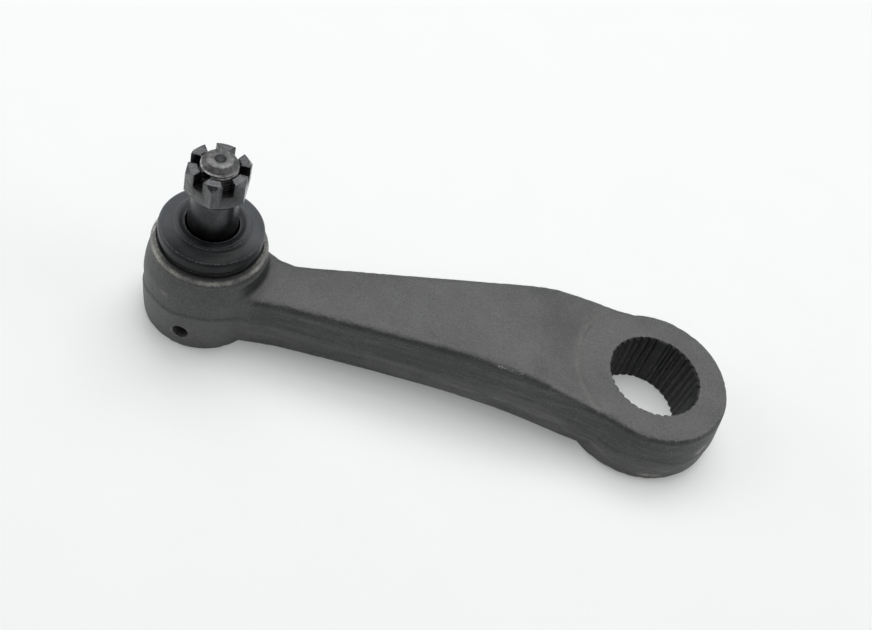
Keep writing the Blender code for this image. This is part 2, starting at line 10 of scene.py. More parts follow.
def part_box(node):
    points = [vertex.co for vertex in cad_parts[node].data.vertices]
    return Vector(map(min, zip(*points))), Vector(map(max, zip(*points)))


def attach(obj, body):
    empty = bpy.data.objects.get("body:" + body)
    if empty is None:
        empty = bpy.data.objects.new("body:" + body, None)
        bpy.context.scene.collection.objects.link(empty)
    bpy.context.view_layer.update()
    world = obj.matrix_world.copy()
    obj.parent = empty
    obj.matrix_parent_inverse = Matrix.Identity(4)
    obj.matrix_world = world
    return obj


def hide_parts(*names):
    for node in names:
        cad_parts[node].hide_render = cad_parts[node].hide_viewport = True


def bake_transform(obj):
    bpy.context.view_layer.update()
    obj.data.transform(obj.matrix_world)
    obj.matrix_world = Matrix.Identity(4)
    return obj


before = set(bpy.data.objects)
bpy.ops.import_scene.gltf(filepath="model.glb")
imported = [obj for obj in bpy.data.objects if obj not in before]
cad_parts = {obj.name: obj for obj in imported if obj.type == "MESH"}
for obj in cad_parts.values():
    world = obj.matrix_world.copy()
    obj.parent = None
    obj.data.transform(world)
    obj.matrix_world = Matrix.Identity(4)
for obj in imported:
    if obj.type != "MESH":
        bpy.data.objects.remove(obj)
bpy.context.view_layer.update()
print("frame loaded:", ", ".join(sorted(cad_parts)))

mm = 0.001
studLow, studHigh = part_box("ball_stud")
ballX = (studLow.x + studHigh.x) / 2  # the ball stud's axis
armReach = 160.0  # millimetres from the stud's axis to the bore's axis
eyeX = ballX + armReach * mm
overrun = 1.0  # millimetres that a cutter runs past the face that it cuts

view = {
    "place": (38.172, -248.218, 324.745),  # millimetres from the foot of the stud's axis
    "forward": (0.10499, 0.63489, -0.76543),
    "up": (-0.24103, 0.76298, 0.59980),
    "focalPixels": 1141.0,
    "frameWidth": 872.0,
    "sensorWidth": 36.0,
    "clipNear": 0.01,
    "clipFar": 20.0,
}


def makeCamera():
    forward = Vector(view["forward"]).normalized()
    right = forward.cross(Vector(view["up"])).normalized()
    up = right.cross(forward)
    camera = bpy.data.objects.new("camera", bpy.data.cameras.new("camera"))
    bpy.context.scene.collection.objects.link(camera)
    turn = Matrix((right, up, -forward)).transposed()
    place = Vector(view["place"]) * mm + Vector((ballX, 0, 0))
    camera.matrix_world = Matrix.Translation(place) @ turn.to_4x4()
    camera.data.sensor_width = view["sensorWidth"]
    camera.data.lens = view["focalPixels"] / view["frameWidth"] * view["sensorWidth"]
    camera.data.clip_start = view["clipNear"]
    camera.data.clip_end = view["clipFar"]
    bpy.context.scene.camera = camera


def shapeFrom(name, bm, sharpAngle=32):
    mesh = bpy.data.meshes.new(name)
    bm.to_mesh(mesh)
    bm.free()
    mesh.shade_smooth()
    mesh.set_sharp_from_angle(angle=math.radians(sharpAngle))
    shape = bpy.data.objects.new(name, mesh)
    bpy.context.scene.collection.objects.link(shape)
    return shape


def spunForm(profile, steps, x=0.0):  # profile of (radius, height) in millimetres
    bm = bmesh.new()
    verts = [bm.verts.new((x + r * mm, 0, z * mm)) for r, z in profile]
    edges = [bm.edges.new(pair) for pair in zip(verts, verts[1:])]
    if profile[0][0] > 0:
        edges.append(bm.edges.new((verts[-1], verts[0])))
    bmesh.ops.spin(bm, geom=verts + edges, cent=(x, 0, 0), axis=(0, 0, 1),
                   angle=2 * math.pi, steps=steps, use_merge=True)
    bmesh.ops.remove_doubles(bm, verts=bm.verts, dist=1e-7)
    bmesh.ops.recalc_face_normals(bm, faces=bm.faces)
    return bm


def plugForm(radius, low, high, steps, x=0.0):  # a plain upright cylinder, or a prism with few steps
    return spunForm([(0, low), (radius, low), (radius, high), (0, high)], steps, x)


def arcPoints(r, z, radius, start, end, steps):
    angles = [math.radians(start + (end - start) * i / steps) for i in range(steps + 1)]
    return [(r + radius * math.cos(a), z + radius * math.sin(a)) for a in angles]


def layAcross(bm, height, angle):  # lays an upright form across the stud's axis
    turn = Matrix.Rotation(math.radians(angle), 4, "Z") @ Matrix.Rotation(math.radians(90), 4, "Y")
    place = Matrix.Translation((ballX, 0, height * mm))
    bmesh.ops.transform(bm, matrix=place @ turn, verts=bm.verts)


def addBoolean(shape, other, operation):
    cut = shape.modifiers.new(other.name, "BOOLEAN")
    cut.operation = operation
    cut.solver = "EXACT"
    cut.object = other


# applies a shape's modifiers and drops its helpers; without an angle its normals stay as they are
def settle(shape, sharpAngle=32):
    bpy.context.view_layer.update()
    made = bpy.data.meshes.new_from_object(shape.evaluated_get(bpy.context.evaluated_depsgraph_get()))
    helpers = [m.object for m in shape.modifiers if m.type == "BOOLEAN"]
    shape.modifiers.clear()
    shape.data = made
    made.name = shape.name
    if sharpAngle is not None:
        made.shade_smooth()
        made.set_sharp_from_angle(angle=math.radians(sharpAngle))
    for helper in helpers:
        bpy.data.objects.remove(helper, do_unlink=True)


def softenEdges(shape, width, segments, angle):
    bevel = shape.modifiers.new("softEdges", "BEVEL")
    bevel.width = width
    bevel.segments = segments
    bevel.limit_method = "ANGLE"
    bevel.angle_limit = math.radians(angle)
    weighted = shape.modifiers.new("flatFaces", "WEIGHTED_NORMAL")
    weighted.weight = 100


def paint(shape, material):
    shape.data.materials.clear()
    shape.data.materials.append(material)


def newFinish(name):
    material = bpy.data.materials.new(name)
    material.use_nodes = True
    tree = material.node_tree
    return material, tree, tree.nodes["Principled BSDF"]


def node(tree, kind, values=None, **settings):
    made = tree.nodes.new(kind)
    for key, value in settings.items():
        setattr(made, key, value)
    for key, value in (values or {}).items():
        made.inputs[key].default_value = value
    return made


def objectPoints(tree, stretch=(1, 1, 1)):
    place = node(tree, "ShaderNodeTexCoord")
    mapping = node(tree, "ShaderNodeMapping", {"Scale": stretch})
    tree.links.new(place.outputs["Object"], mapping.inputs["Vector"])
    return mapping.outputs["Vector"]


def readAttribute(tree, name):
    return node(tree, "ShaderNodeAttribute", attribute_name=name).outputs["Fac"]


def grain(tree, points, scale, detail=2.0, roughness=0.5):  # scale in turns in a metre
    made = node(tree, "ShaderNodeTexNoise", {"Scale": scale, "Detail": detail, "Roughness": roughness})
    tree.links.new(points, made.inputs["Vector"])
    return made.outputs["Fac"]


def spread(tree, source, low, high, toLow=0.0, toHigh=1.0):
    made = node(tree, "ShaderNodeMapRange", {
        "From Min": low, "From Max": high, "To Min": toLow, "To Max": toHigh})
    tree.links.new(source, made.inputs["Value"])
    return made.outputs["Result"]


def combine(tree, operation, first, second):
    made = node(tree, "ShaderNodeMath", operation=operation)
    for socket, value in zip(made.inputs, (first, second)):
        if isinstance(value, (int, float)):
            socket.default_value = value
        else:
            tree.links.new(value, socket)
    return made.outputs["Value"]


def blendColours(tree, share, first, second):
    made = node(tree, "ShaderNodeMix", data_type="RGBA")
    tree.links.new(share, made.inputs["Factor"])
    for name, value in (("A", first), ("B", second)):
        socket = next(s for s in made.inputs if s.name == name and s.type == "RGBA")
        if isinstance(value, tuple):
            socket.default_value = (*value, 1)
        else:
            tree.links.new(value, socket)
    return next(s for s in made.outputs if s.type == "RGBA")


def tiltNormal(tree, height, distance, under=None):
    made = node(tree, "ShaderNodeBump", {"Distance": distance})
    tree.links.new(height, made.inputs["Height"])
    if under is not None:
        tree.links.new(under, made.inputs["Normal"])
    return made.outputs["Normal"]


def cameraRay(tree):
    return node(tree, "ShaderNodeLightPath").outputs["Is Camera Ray"]


def mixShaders(tree, share, first, second):
    made = node(tree, "ShaderNodeMixShader")
    tree.links.new(share, made.inputs["Fac"])
    tree.links.new(first, made.inputs[1])
    tree.links.new(second, made.inputs[2])
    return made.outputs["Shader"]


studio = {
    "worldStrength": 0.07,
    "worldColour": (0.95, 0.98, 1.0),
    "backdropColour": (0.94, 0.955, 0.95),  # only the camera sees it, past the floor
    "softboxes": (  # name, place, size, watts; all of them face the arm
        ("backHigh", (0.0, 0.60, 1.40), (1.2, 0.8), 7.4),
        ("back", (0.0, 0.78, 1.20), (1.9, 0.7), 6.5),
        ("left", (-1.15, 0.05, 0.60), (0.9, 0.9), 5.0),
        ("right", (1.15, 0.05, 0.60), (0.9, 0.9), 3.9),
        ("top", (0.0, 0.10, 1.30), (0.5, 0.5), 3.3),
        ("front", (0.0, -0.80, 1.20), (1.2, 0.6), 2.0),
    ),
    "floorReach": 1.1,
    "floorColour": (0.93, 0.945, 0.94),
    "floorShade": (0.92, 0.935, 0.93),
    "floorGrain": 30.0,
    "floorRoughness": 0.9,
    "floorShine": 0.1,
    "floorLift": 0.21,  # share of the backdrop in the floor near the arm, for the camera alone
    "floorFade": (0.34, 0.85),  # metres from the middle, between which the floor turns into the backdrop
}


def floorPaper():
    material, tree, shader = newFinish("floorPaper")
    shade = spread(tree, grain(tree, objectPoints(tree), studio["floorGrain"]), 0.3, 0.7)
    tone = blendColours(tree, shade, studio["floorShade"], studio["floorColour"])
    tree.links.new(tone, shader.inputs["Base Color"])
    shader.inputs["Roughness"].default_value = studio["floorRoughness"]
    shader.inputs["Specular IOR Level"].default_value = studio["floorShine"]
    away = node(tree, "ShaderNodeVectorMath", operation="LENGTH")
    tree.links.new(objectPoints(tree), away.inputs[0])
    share = spread(tree, away.outputs["Value"], *studio["floorFade"], studio["floorLift"], 1.0)
    glow = node(tree, "ShaderNodeEmission", {"Color": (*studio["backdropColour"], 1)})
    lift = combine(tree, "MULTIPLY", cameraRay(tree), share)
    shown = mixShaders(tree, lift, shader.outputs["BSDF"], glow.outputs["Emission"])
    tree.links.new(shown, tree.nodes["Material Output"].inputs["Surface"])
    return material


def makeStudio():
    world = bpy.data.worlds.new("studio")
    bpy.context.scene.world = world
    world.use_nodes = True
    tree = world.node_tree
    light = tree.nodes["Background"]
    light.inputs["Color"].default_value = (*studio["worldColour"], 1)
    light.inputs["Strength"].default_value = studio["worldStrength"]
    backdrop = node(tree, "ShaderNodeBackground", {"Color": (*studio["backdropColour"], 1)})
    shown = mixShaders(tree, cameraRay(tree), light.outputs["Background"], backdrop.outputs["Background"])
    tree.links.new(shown, tree.nodes["World Output"].inputs["Surface"])
    for name, place, size, watts in studio["softboxes"]:
        lamp = bpy.data.lights.new(name, "AREA")
        lamp.shape = "RECTANGLE"
        lamp.size, lamp.size_y = size
        lamp.energy = watts
        item = bpy.data.objects.new(name, lamp)
        bpy.context.scene.collection.objects.link(item)
        item.location = place
        item.rotation_euler = (-Vector(place)).to_track_quat("-Z", "Y").to_euler()
    bm = bmesh.new()
    bmesh.ops.create_grid(bm, x_segments=1, y_segments=1, size=studio["floorReach"])
    floor = shapeFrom("floor", bm)
    paint(floor, floorPaper())


forgedCoat = {
    "dark": (0.046, 0.048, 0.047),
    "light": (0.135, 0.137, 0.134),
    # colour of worn coat, also of the painted highlights on the rim and the pad's arc and of the glints
    "wearAndHighlight": (0.36, 0.35, 0.32),
    "chip": (0.66, 0.66, 0.64),
    # colour of painted shade in holes, creases and under edges, and of the bore's dark oiled metal
    "hole": (0.012, 0.013, 0.013),
    "speck": 1500.0,  # turns of the fine grain in a metre, and then of the coarser ones
    "mottle": 130.0,
    "cloud": 34.0,
    "glint": 900.0,  # the same for the bright specks
    "glintShare": 0.30,
    "speckShare": 0.62,  # of the speck in the tone; the mottle and the cloud give the rest
    "streaks": (  # stretch, turns in a metre, detail and strength of the lines drawn along the walls
        ((0.05, 0.20, 1.0), 420.0, 3.0, 0.20),
        ((0.08, 0.25, 1.0), 1300.0, 2.0, 0.14)),
    # how far the painted light and shade on the walls, the housing and the slope move the tone
    "paintedLightStrength": 0.42,
    "roughness": (0.46, 0.62),
    "shine": 0.42,
    "speckRelief": 0.00013,
    "streakRelief": 0.00015,
    "mottleRelief": 0.00025,
}


def forgedFinish():
    material, tree, shader = newFinish("forgedCoat")
    points = objectPoints(tree)
    speck = grain(tree, points, forgedCoat["speck"], 3.0, 0.65)
    mottle = grain(tree, points, forgedCoat["mottle"], 4.0, 0.6)
    cloud = grain(tree, points, forgedCoat["cloud"])
    glint = grain(tree, points, forgedCoat["glint"], 1.0)
    drawn = []
    for stretch, scale, detail, lift in forgedCoat["streaks"]:
        streak = grain(tree, objectPoints(tree, stretch), scale, detail, 0.6)
        drawn.append(spread(tree, streak, 0.35, 0.65, -lift, lift))
    wall, band, edge, rub, chips, hole = (readAttribute(tree, kind) for kind in (
        "wallShare", "paintedLightAndShade", "edgeWearAndHighlight", "rubbedAndHighlight", "chipped", "holeShade"))
    speckShare = forgedCoat["speckShare"]
    tone = combine(tree, "ADD", spread(tree, speck, 0.30, 0.70, 0.0, speckShare),
                   spread(tree, combine(tree, "ADD", mottle, cloud), 0.75, 1.25, 0.0, 1.0 - speckShare))
    lines = combine(tree, "MULTIPLY", combine(tree, "ADD", *drawn), wall)
    tone = combine(tree, "ADD", tone, lines)
    # painted light and shade
    strength = forgedCoat["paintedLightStrength"]
    tone = combine(tree, "ADD", tone, spread(tree, band, 0.0, 1.0, -strength, strength))
    colour = blendColours(tree, tone, forgedCoat["dark"], forgedCoat["light"])
    # worn edges, rubbed places with the painted highlights, and glints
    wearAndHighlight = combine(tree, "MULTIPLY", edge, spread(tree, speck, 0.46, 0.64, 0.0, 0.5))
    rubbedAndHighlight = combine(tree, "MULTIPLY", rub, spread(tree, speck, 0.30, 0.52, 0.25, 1.0))
    shining = spread(tree, glint, 0.72, 0.84, 0.0, forgedCoat["glintShare"])
    bareAndHighlight = combine(tree, "ADD", combine(tree, "ADD", wearAndHighlight, rubbedAndHighlight), shining)
    colour = blendColours(tree, bareAndHighlight, colour, forgedCoat["wearAndHighlight"])
    chip = combine(tree, "MULTIPLY", chips, spread(tree, speck, 0.44, 0.54))
    colour = blendColours(tree, chip, colour, forgedCoat["chip"])
    # painted shade, and the bore's dark oiled metal
    colour = blendColours(tree, hole, colour, forgedCoat["hole"])
    tree.links.new(colour, shader.inputs["Base Color"])
    tree.links.new(spread(tree, mottle, 0.3, 0.7, *forgedCoat["roughness"]), shader.inputs["Roughness"])
    shader.inputs["Specular IOR Level"].default_value = forgedCoat["shine"]
    skin = tiltNormal(tree, speck, forgedCoat["speckRelief"])
    skin = tiltNormal(tree, lines, forgedCoat["streakRelief"], skin)
    skin = tiltNormal(tree, mottle, forgedCoat["mottleRelief"], skin)
    tree.links.new(skin, shader.inputs["Normal"])
    return material


oiledSteel = {
    "dark": (0.030, 0.031, 0.033),
    "light": (0.080, 0.082, 0.084),
    # colour of worn edges, bright crests and painted highlights
    "bright": (0.62, 0.62, 0.60),
    # colour of painted shade in holes, slots and where other parts cover
    "hole": (0.008, 0.008, 0.009),
    "speck": 1500.0,
    "cloud": 190.0,
    "rub": 620.0,
    "mattRoughness": 0.35,
    "relief": (0.00003, 0.00006),  # the least, and what a full share of speck adds
}


def steelFinish(name, look):  # look is the piece's own dictionary
    material, tree, shader = newFinish(name)
    points = objectPoints(tree)
    speck = grain(tree, points, oiledSteel["speck"], 3.0, 0.65)
    cloud = grain(tree, points, oiledSteel["cloud"], 3.0, 0.55)
    rub = grain(tree, points, oiledSteel["rub"])
    edge, hole, matt = (readAttribute(tree, kind) for kind in ("edgeWearAndHighlight", "holeShade", "mattShare"))
    speckShare = look["speckShare"]
    tone = combine(tree, "ADD", spread(tree, speck, 0.34, 0.66, 0.0, speckShare),
                   spread(tree, cloud, 0.34, 0.66, 0.0, 1.0 - speckShare))
    dark = tuple(part * look["toneLift"] for part in oiledSteel["dark"])
    light = tuple(part * look["toneLift"] for part in oiledSteel["light"])
    colour = blendColours(tree, tone, dark, light)
    rubbedAndHighlight = combine(tree, "MULTIPLY", edge, spread(tree, rub, 0.36, 0.64, 0.30, 1.0))
    colour = blendColours(tree, rubbedAndHighlight, colour, oiledSteel["bright"])
    # painted shade
    colour = blendColours(tree, hole, colour, oiledSteel["hole"])
    tree.links.new(colour, shader.inputs["Base Color"])
    shine = combine(tree, "ADD", spread(tree, cloud, 0.3, 0.7, *look["roughness"]),
                    combine(tree, "MULTIPLY", matt, oiledSteel["mattRoughness"]))
    tree.links.new(shine, shader.inputs["Roughness"])
    shader.inputs["Metallic"].default_value = look["metallic"]
    least, added = oiledSteel["relief"]
    tree.links.new(tiltNormal(tree, speck, least + added * speckShare), shader.inputs["Normal"])
    return material


bootRubber = {
    "dark": (0.008, 0.009, 0.010),
    "light": (0.082, 0.087, 0.093),
    # colour of the painted highlight lines
    "line": (0.13, 0.135, 0.14),
    "speck": 1400.0,
    "cloud": 120.0,
    "cloudStrength": 0.15,
    "roughness": (0.36, 0.50),
    "shine": 0.20,
    "speckRelief": 0.00003,
    "cloudRelief": 0.00015,
}


def rubberFinish():
    material, tree, shader = newFinish("bootRubber")
    points = objectPoints(tree)
    speck = grain(tree, points, bootRubber["speck"], 2.0, 0.6)
    cloud = grain(tree, points, bootRubber["cloud"], 3.0, 0.6)
    band, line = (readAttribute(tree, kind) for kind in ("bootPaintedLight", "bootHighlightLines"))
    strength = bootRubber["cloudStrength"]
    tone = combine(tree, "ADD", band, spread(tree, cloud, 0.3, 0.7, -strength, strength))
    colour = blendColours(tree, tone, bootRubber["dark"], bootRubber["light"])
    thin = combine(tree, "MULTIPLY", line, spread(tree, speck, 0.38, 0.58))
    colour = blendColours(tree, thin, colour, bootRubber["line"])
    tree.links.new(colour, shader.inputs["Base Color"])
    tree.links.new(spread(tree, cloud, 0.3, 0.7, *bootRubber["roughness"]), shader.inputs["Roughness"])
    shader.inputs["Specular IOR Level"].default_value = bootRubber["shine"]
    skin = tiltNormal(tree, speck, bootRubber["speckRelief"])
    skin = tiltNormal(tree, cloud, bootRubber["cloudRelief"], skin)
    tree.links.new(skin, shader.inputs["Normal"])
    return material


def surfaceArrays(mesh):
    count = len(mesh.vertices)
    points = np.zeros(count * 3)
    normals = np.zeros(count * 3)
    pairs = np.zeros(len(mesh.edges) * 2, dtype=np.int64)
    mesh.vertices.foreach_get("co", points)
    mesh.vertex_normals.foreach_get("vector", normals)
    mesh.edges.foreach_get("vertices", pairs)
    return points.reshape(-1, 3), normals.reshape(-1, 3), pairs.reshape(-1, 2)


def keepAttribute(mesh, name, values):
    layer = mesh.attributes.get(name) or mesh.attributes.new(name, "FLOAT", "POINT")
    layer.data.foreach_set("value", np.asarray(values, dtype=np.float32))


def neighbourMean(values, pairs):
    total = np.zeros(len(values))
    number = np.zeros(len(values))
    for here, there in ((0, 1), (1, 0)):
        np.add.at(total, pairs[:, here], values[pairs[:, there]])
        np.add.at(number, pairs[:, here], 1)
    return total / np.maximum(number, 1)


def ridgeMeasure(points, normals, pairs, spreadSteps):  # positive on outer edges
    offset = points[pairs[:, 1]] - points[pairs[:, 0]]
    length = np.maximum((offset ** 2).sum(1), 1e-12)
    bend = np.zeros(len(points))
    number = np.zeros(len(points))
    for here, sign in ((0, -1), (1, 1)):
        lean = sign * (normals[pairs[:, here]] * offset).sum(1) / length
        np.add.at(bend, pairs[:, here], lean)
        np.add.at(number, pairs[:, here], 1)
    bend /= np.maximum(number, 1)
    for _ in range(spreadSteps):
        bend = 0.5 * bend + 0.5 * neighbourMean(bend, pairs)
    return bend * 2  # one over the edge's radius, roughly


def polar(points, centreX):  # radius in millimetres and angle in degrees round an upright axis
    x = (points[:, 0] - centreX) / mm
    y = points[:, 1] / mm
    return np.hypot(x, y), np.degrees(np.arctan2(y, x))


def survey(points, normals, pairs):  # where each point lies, in millimetres and degrees
    at = SimpleNamespace(points=points, normals=normals, pairs=pairs)
    at.height = points[:, 2] / mm
    at.along = (points[:, 0] - ballX) / mm
    at.radius, at.angle = polar(points, ballX)
    at.eyeRadius, at.eyeAngle = polar(points, eyeX)
    at.nearSide = points[:, 1] < 0
    return at


def ramp(values, low, high):
    return np.clip((values - low) / (high - low), 0, 1)


def smoothStep(values, low, high):
    share = ramp(values, low, high)
    return share * share * (3 - 2 * share)


def plateau(values, start, full, fade, end):
    return smoothStep(values, start, full) * (1 - smoothStep(values, fade, end))


def hump(values, middle, width):
    return np.exp(-((values - middle) / width) ** 2)


def softLine(values, middle, width, strength):
    return strength * hump(values, middle, width)


def within(values, low, high):
    return (values > low) & (values < high)


def lumps(points, scale, offset=0.0):
    return np.array([noise.noise(Vector(p) * scale + Vector((offset, 0, 0))) for p in points])


forging = {
    "voxel": 0.57, "quickVoxel": 0.95, "softenSteps": 3, "sharpAngle": 38,
    "fillSteps": 96, "leadSteps": 144, "portSteps": 40, "cavitySteps": 120, "grooveSteps": 144,
    "boreTop": 16.1, "boreBase": 15.0, "eyeThickness": 22.54, "boreLead": 0.6,
    "teeth": 36, "blindEvery": 9, "toothDepth": 0.8, "splineAngle": 78.9,
    "crestShare": 0.26, "rootShare": 0.20,
    "spaceShape": ((1.5, 0.82), (0.7, 1.0)),  # shares of the root's half width and of the depth, inwards
    "cavityRadius": 15.4, "cavityTop": 27.3, "mouthRadius": 12.8, "spigotTop": 38.4,
    "coverSeatRadius": 16.2, "coverSeatDepth": 3.0, "lipReach": 0.6, "lipThickness": 0.6,
    "portRadius": 2.8, "portHeight": 8.9, "portAngle": -98.7, "portLead": 0.35,
    "portFloor": 13.0, "portMouth": 20.75, "portEnd": 24.0,  # distances from the stud's axis
    "grooveInner": 16.3, "grooveOuter": 17.5, "grooveFloor": 35.5, "grooveTop": 37.5, "grooveCorner": 0.3,
    # how far the fillings reach past their holes
    "boreFill": 2.0, "seatFill": 0.3, "cavityFill": 0.4, "mouthFill": 0.6, "portFill": 0.2,
    "mouthFillBase": 20.0, "portFillEnd": 20.4,
    "wallLean": (0.35, 0.75),  # upward part of the normal, from a wall to a level face
    "levelLean": 0.85,
    "flatFoot": 0.3,  # the skin stays as it is below this height
    "topAbove": 20.0,
    "waves": ((95.0, 0.0, 1.0), (260.0, 7.0, 0.5)),  # turns in a metre, place in the noise and share
    "waveHeight": 0.06, "waveSink": 0.03, "waveDeepest": 0.12,
    "nibbleRidge": (120, 380), "nibbleNoise": (420.0, 3.0), "nibbleDepth": 0.6,
    "housingWide": 23.0, "rimLine": 18.78, "rimHeight": 34.0,
    "ledgePath": (  # angle from the shank's side and height of the forged step round the housing
        (0, 11.0), (38, 15.0), (60, 17.3), (85, 18.4), (110, 17.0), (134, 17.2), (180, 12.0)),
    "ledgeDepth": 0.32,
    "ledgeStep": (-0.2, 0.6, 2.5, 9.0),  # above that path: where the step starts, is full, fades and ends
    "partingShare": (0.42, 0.60), "partingDepth": 0.14,
    "partingStep": (-0.01, 0.04, 0.10, 0.30),  # the same below the parting line, as shares of the wall
    "partingNoise": (70.0, 11.0), "partingWander": 0.03,
    "padRadius": 28.8,
    "padEase": (0.4, 1.3, 0.15, 14),  # past the pad's radius, width, least upward normal and rounds
    "bendPlace": 109.0, "bendSkew": 19.0,  # where the top turns down to the eye, and that line's skew
    "bendEase": (7.0, 0.5, 50),  # width, least upward normal and rounds of smoothing
    "bendEaseFrom": 60.0,
}


def broachForm():
    pitch = 2 * math.pi / forging["teeth"]
    crestHalf = pitch * (1 - forging["crestShare"]) / 2
    rootHalf = pitch * forging["rootShare"] / 2
    rise = (forging["boreTop"] - forging["boreBase"]) / forging["eyeThickness"]
    rings = []
    bm = bmesh.new()
    for z in (-overrun, forging["eyeThickness"] + overrun):
        crest = forging["boreBase"] + rise * z
        ring = []
        for space in range(forging["teeth"]):
            middle = math.radians(forging["splineAngle"]) + space * pitch
            depth = 0.0 if space % forging["blindEvery"] == 0 else forging["toothDepth"]
            flank = [(-crestHalf, crest)]
            flank += [(-rootHalf * wide, crest + depth * deep) for wide, deep in forging["spaceShape"]]
            for angle, radius in flank + [(-angle, radius) for angle, radius in reversed(flank)]:
                x = eyeX + radius * mm * math.cos(middle + angle)
                y = radius * mm * math.sin(middle + angle)
                ring.append(bm.verts.new((x, y, z * mm)))
        rings.append(ring)
    loops = [[bm.edges.new(pair) for pair in zip(ring, ring[1:] + ring[:1])] for ring in rings]
    for loop in loops:
        bmesh.ops.edgeloop_fill(bm, edges=loop)
    bmesh.ops.bridge_loops(bm, edges=loops[0] + loops[1])
    bmesh.ops.recalc_face_normals(bm, faces=bm.faces)
    return shapeFrom("broach", bm)


def leadForm(name, z, outward):
    crest = forging["boreBase"] + (forging["boreTop"] - forging["boreBase"]) * z / forging["eyeThickness"]
    inner = (crest - overrun, z - outward * (forging["boreLead"] + overrun))
    outer = (crest + forging["boreLead"] + overrun, z + outward * overrun)
    profile = [(0, inner[1]), inner, outer, (0, outer[1])]
    return shapeFrom(name, spunForm(profile, forging["leadSteps"], eyeX))


def portForm(name, radius, end, lead=0.0):
    floor, mouth, wide = forging["portFloor"], forging["portMouth"], radius + lead * 2
    bm = spunForm([(0, floor), (radius, floor), (radius, mouth - lead), (wide, mouth + lead),
                   (wide, end), (0, end)], forging["portSteps"])
    layAcross(bm, forging["portHeight"], forging["portAngle"])
    return shapeFrom(name, bm)


def cavityForm():
    seat, lip = forging["coverSeatRadius"], forging["coverSeatRadius"] - forging["lipReach"]
    seatTop, lipTop = forging["coverSeatDepth"], forging["lipThickness"]
    wide, mouth = forging["cavityRadius"], forging["mouthRadius"]
    low, shoulder, high = -overrun, forging["cavityTop"], forging["spigotTop"] + overrun
    profile = [(0, low), (lip, low), (lip, lipTop), (seat, lipTop), (seat, seatTop), (wide, seatTop),
               (wide, shoulder), (mouth, shoulder), (mouth, high), (0, high)]
    return shapeFrom("cavity", spunForm(profile, forging["cavitySteps"], ballX))


def grooveForm():  # recess round the foot of the boot
    inner, outer, corner = forging["grooveInner"], forging["grooveOuter"], forging["grooveCorner"]
    floor, top = forging["grooveFloor"], forging["grooveTop"]
    profile = [(inner, floor), (outer - corner, floor), (outer, floor + corner), (outer, top), (inner, top)]
    return shapeFrom("groove", spunForm(profile, forging["grooveSteps"], ballX))


def filledForging():  # its machined holes are closed, so that it is softened before it is cut again
    bm = bmesh.new()
    bm.from_mesh(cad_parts["arm_forging"].data)
    bmesh.ops.remove_doubles(bm, verts=bm.verts, dist=1e-6)
    bore = forging["boreTop"] + forging["boreFill"]
    seat = forging["coverSeatRadius"] + forging["seatFill"]
    mouth = forging["mouthRadius"] + forging["mouthFill"]
    steps = forging["fillSteps"]
    fills = [
        plugForm(bore, 0, forging["eyeThickness"], steps, eyeX),
        plugForm(seat, 0, forging["cavityTop"] + forging["cavityFill"], steps, ballX),
        plugForm(mouth, forging["mouthFillBase"], forging["spigotTop"], steps, ballX)]
    for index, fill in enumerate(fills):
        mesh = bpy.data.meshes.new(f"fill{index}")
        fill.to_mesh(mesh)
        fill.free()
        bm.from_mesh(mesh)
        bpy.data.meshes.remove(mesh)
    plug = portForm("portFill", forging["portRadius"] + forging["portFill"], forging["portFillEnd"])
    bm.from_mesh(plug.data)
    bpy.data.objects.remove(plug, do_unlink=True)
    return bm


def makeArm():
    arm = shapeFrom("arm_surface", filledForging())
    remesh = arm.modifiers.new("evenSkin", "REMESH")
    remesh.mode = "VOXEL"
    remesh.voxel_size = forging["voxel"] * mm
    soften = arm.modifiers.new("soften", "SMOOTH")
    soften.factor = 0.5
    soften.iterations = forging["softenSteps"]
    settle(arm, 180)
    weatherSkin(arm.data)
    print("forging skin:", len(arm.data.vertices), "points")
    cutter = broachForm()
    port = portForm("port", forging["portRadius"], forging["portEnd"], forging["portLead"])
    for other in (leadForm("leadTop", forging["eyeThickness"], 1), leadForm("leadBase", 0.0, -1),
                  cavityForm(), grooveForm(), port):
        addBoolean(cutter, other, "UNION")
    settle(cutter)
    addBoolean(arm, cutter, "DIFFERENCE")
    settle(arm, forging["sharpAngle"])
    shadeSkin(arm.data)
    paint(arm, forgedFinish())
    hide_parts("arm_forging")
    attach(arm, "arm")
    print("arm:", len(arm.data.polygons), "faces")


def ledgeLine(angle):
    angles, heights = zip(*forging["ledgePath"])
    return np.interp(np.abs(angle), angles, heights)


def wallDrop(at):  # how far down a side wall each point lies, 0 at its top and 1 at its foot
    nearest = np.round(at.along).astype(int)
    level = np.abs(at.normals[:, 2]) > forging["levelLean"]
    places = np.arange(nearest.min(), nearest.max() + 1)
    tops = np.array([at.height[level & (nearest == place)].max(initial=0.0) for place in places])
    feet = np.array([at.height[level & (nearest == place)].min(initial=30.0) for place in places])
    top = np.interp(at.along, places, tops)
    foot = np.interp(at.along, places, feet)
    return np.clip((top - at.height) / np.maximum(top - foot, 1.0), 0, 1)


def partingLine(at):  # the same measure at the line where the dies met
    near, far = forging["partingShare"]
    return near + (far - near) * np.clip(at.along / armReach, 0, 1)


def downSlope(vectors):  # the part of points or normals that runs along the slope down to the eye
    skew = math.radians(forging["bendSkew"])
    return vectors[:, 0] * math.cos(skew) - vectors[:, 1] * math.sin(skew)


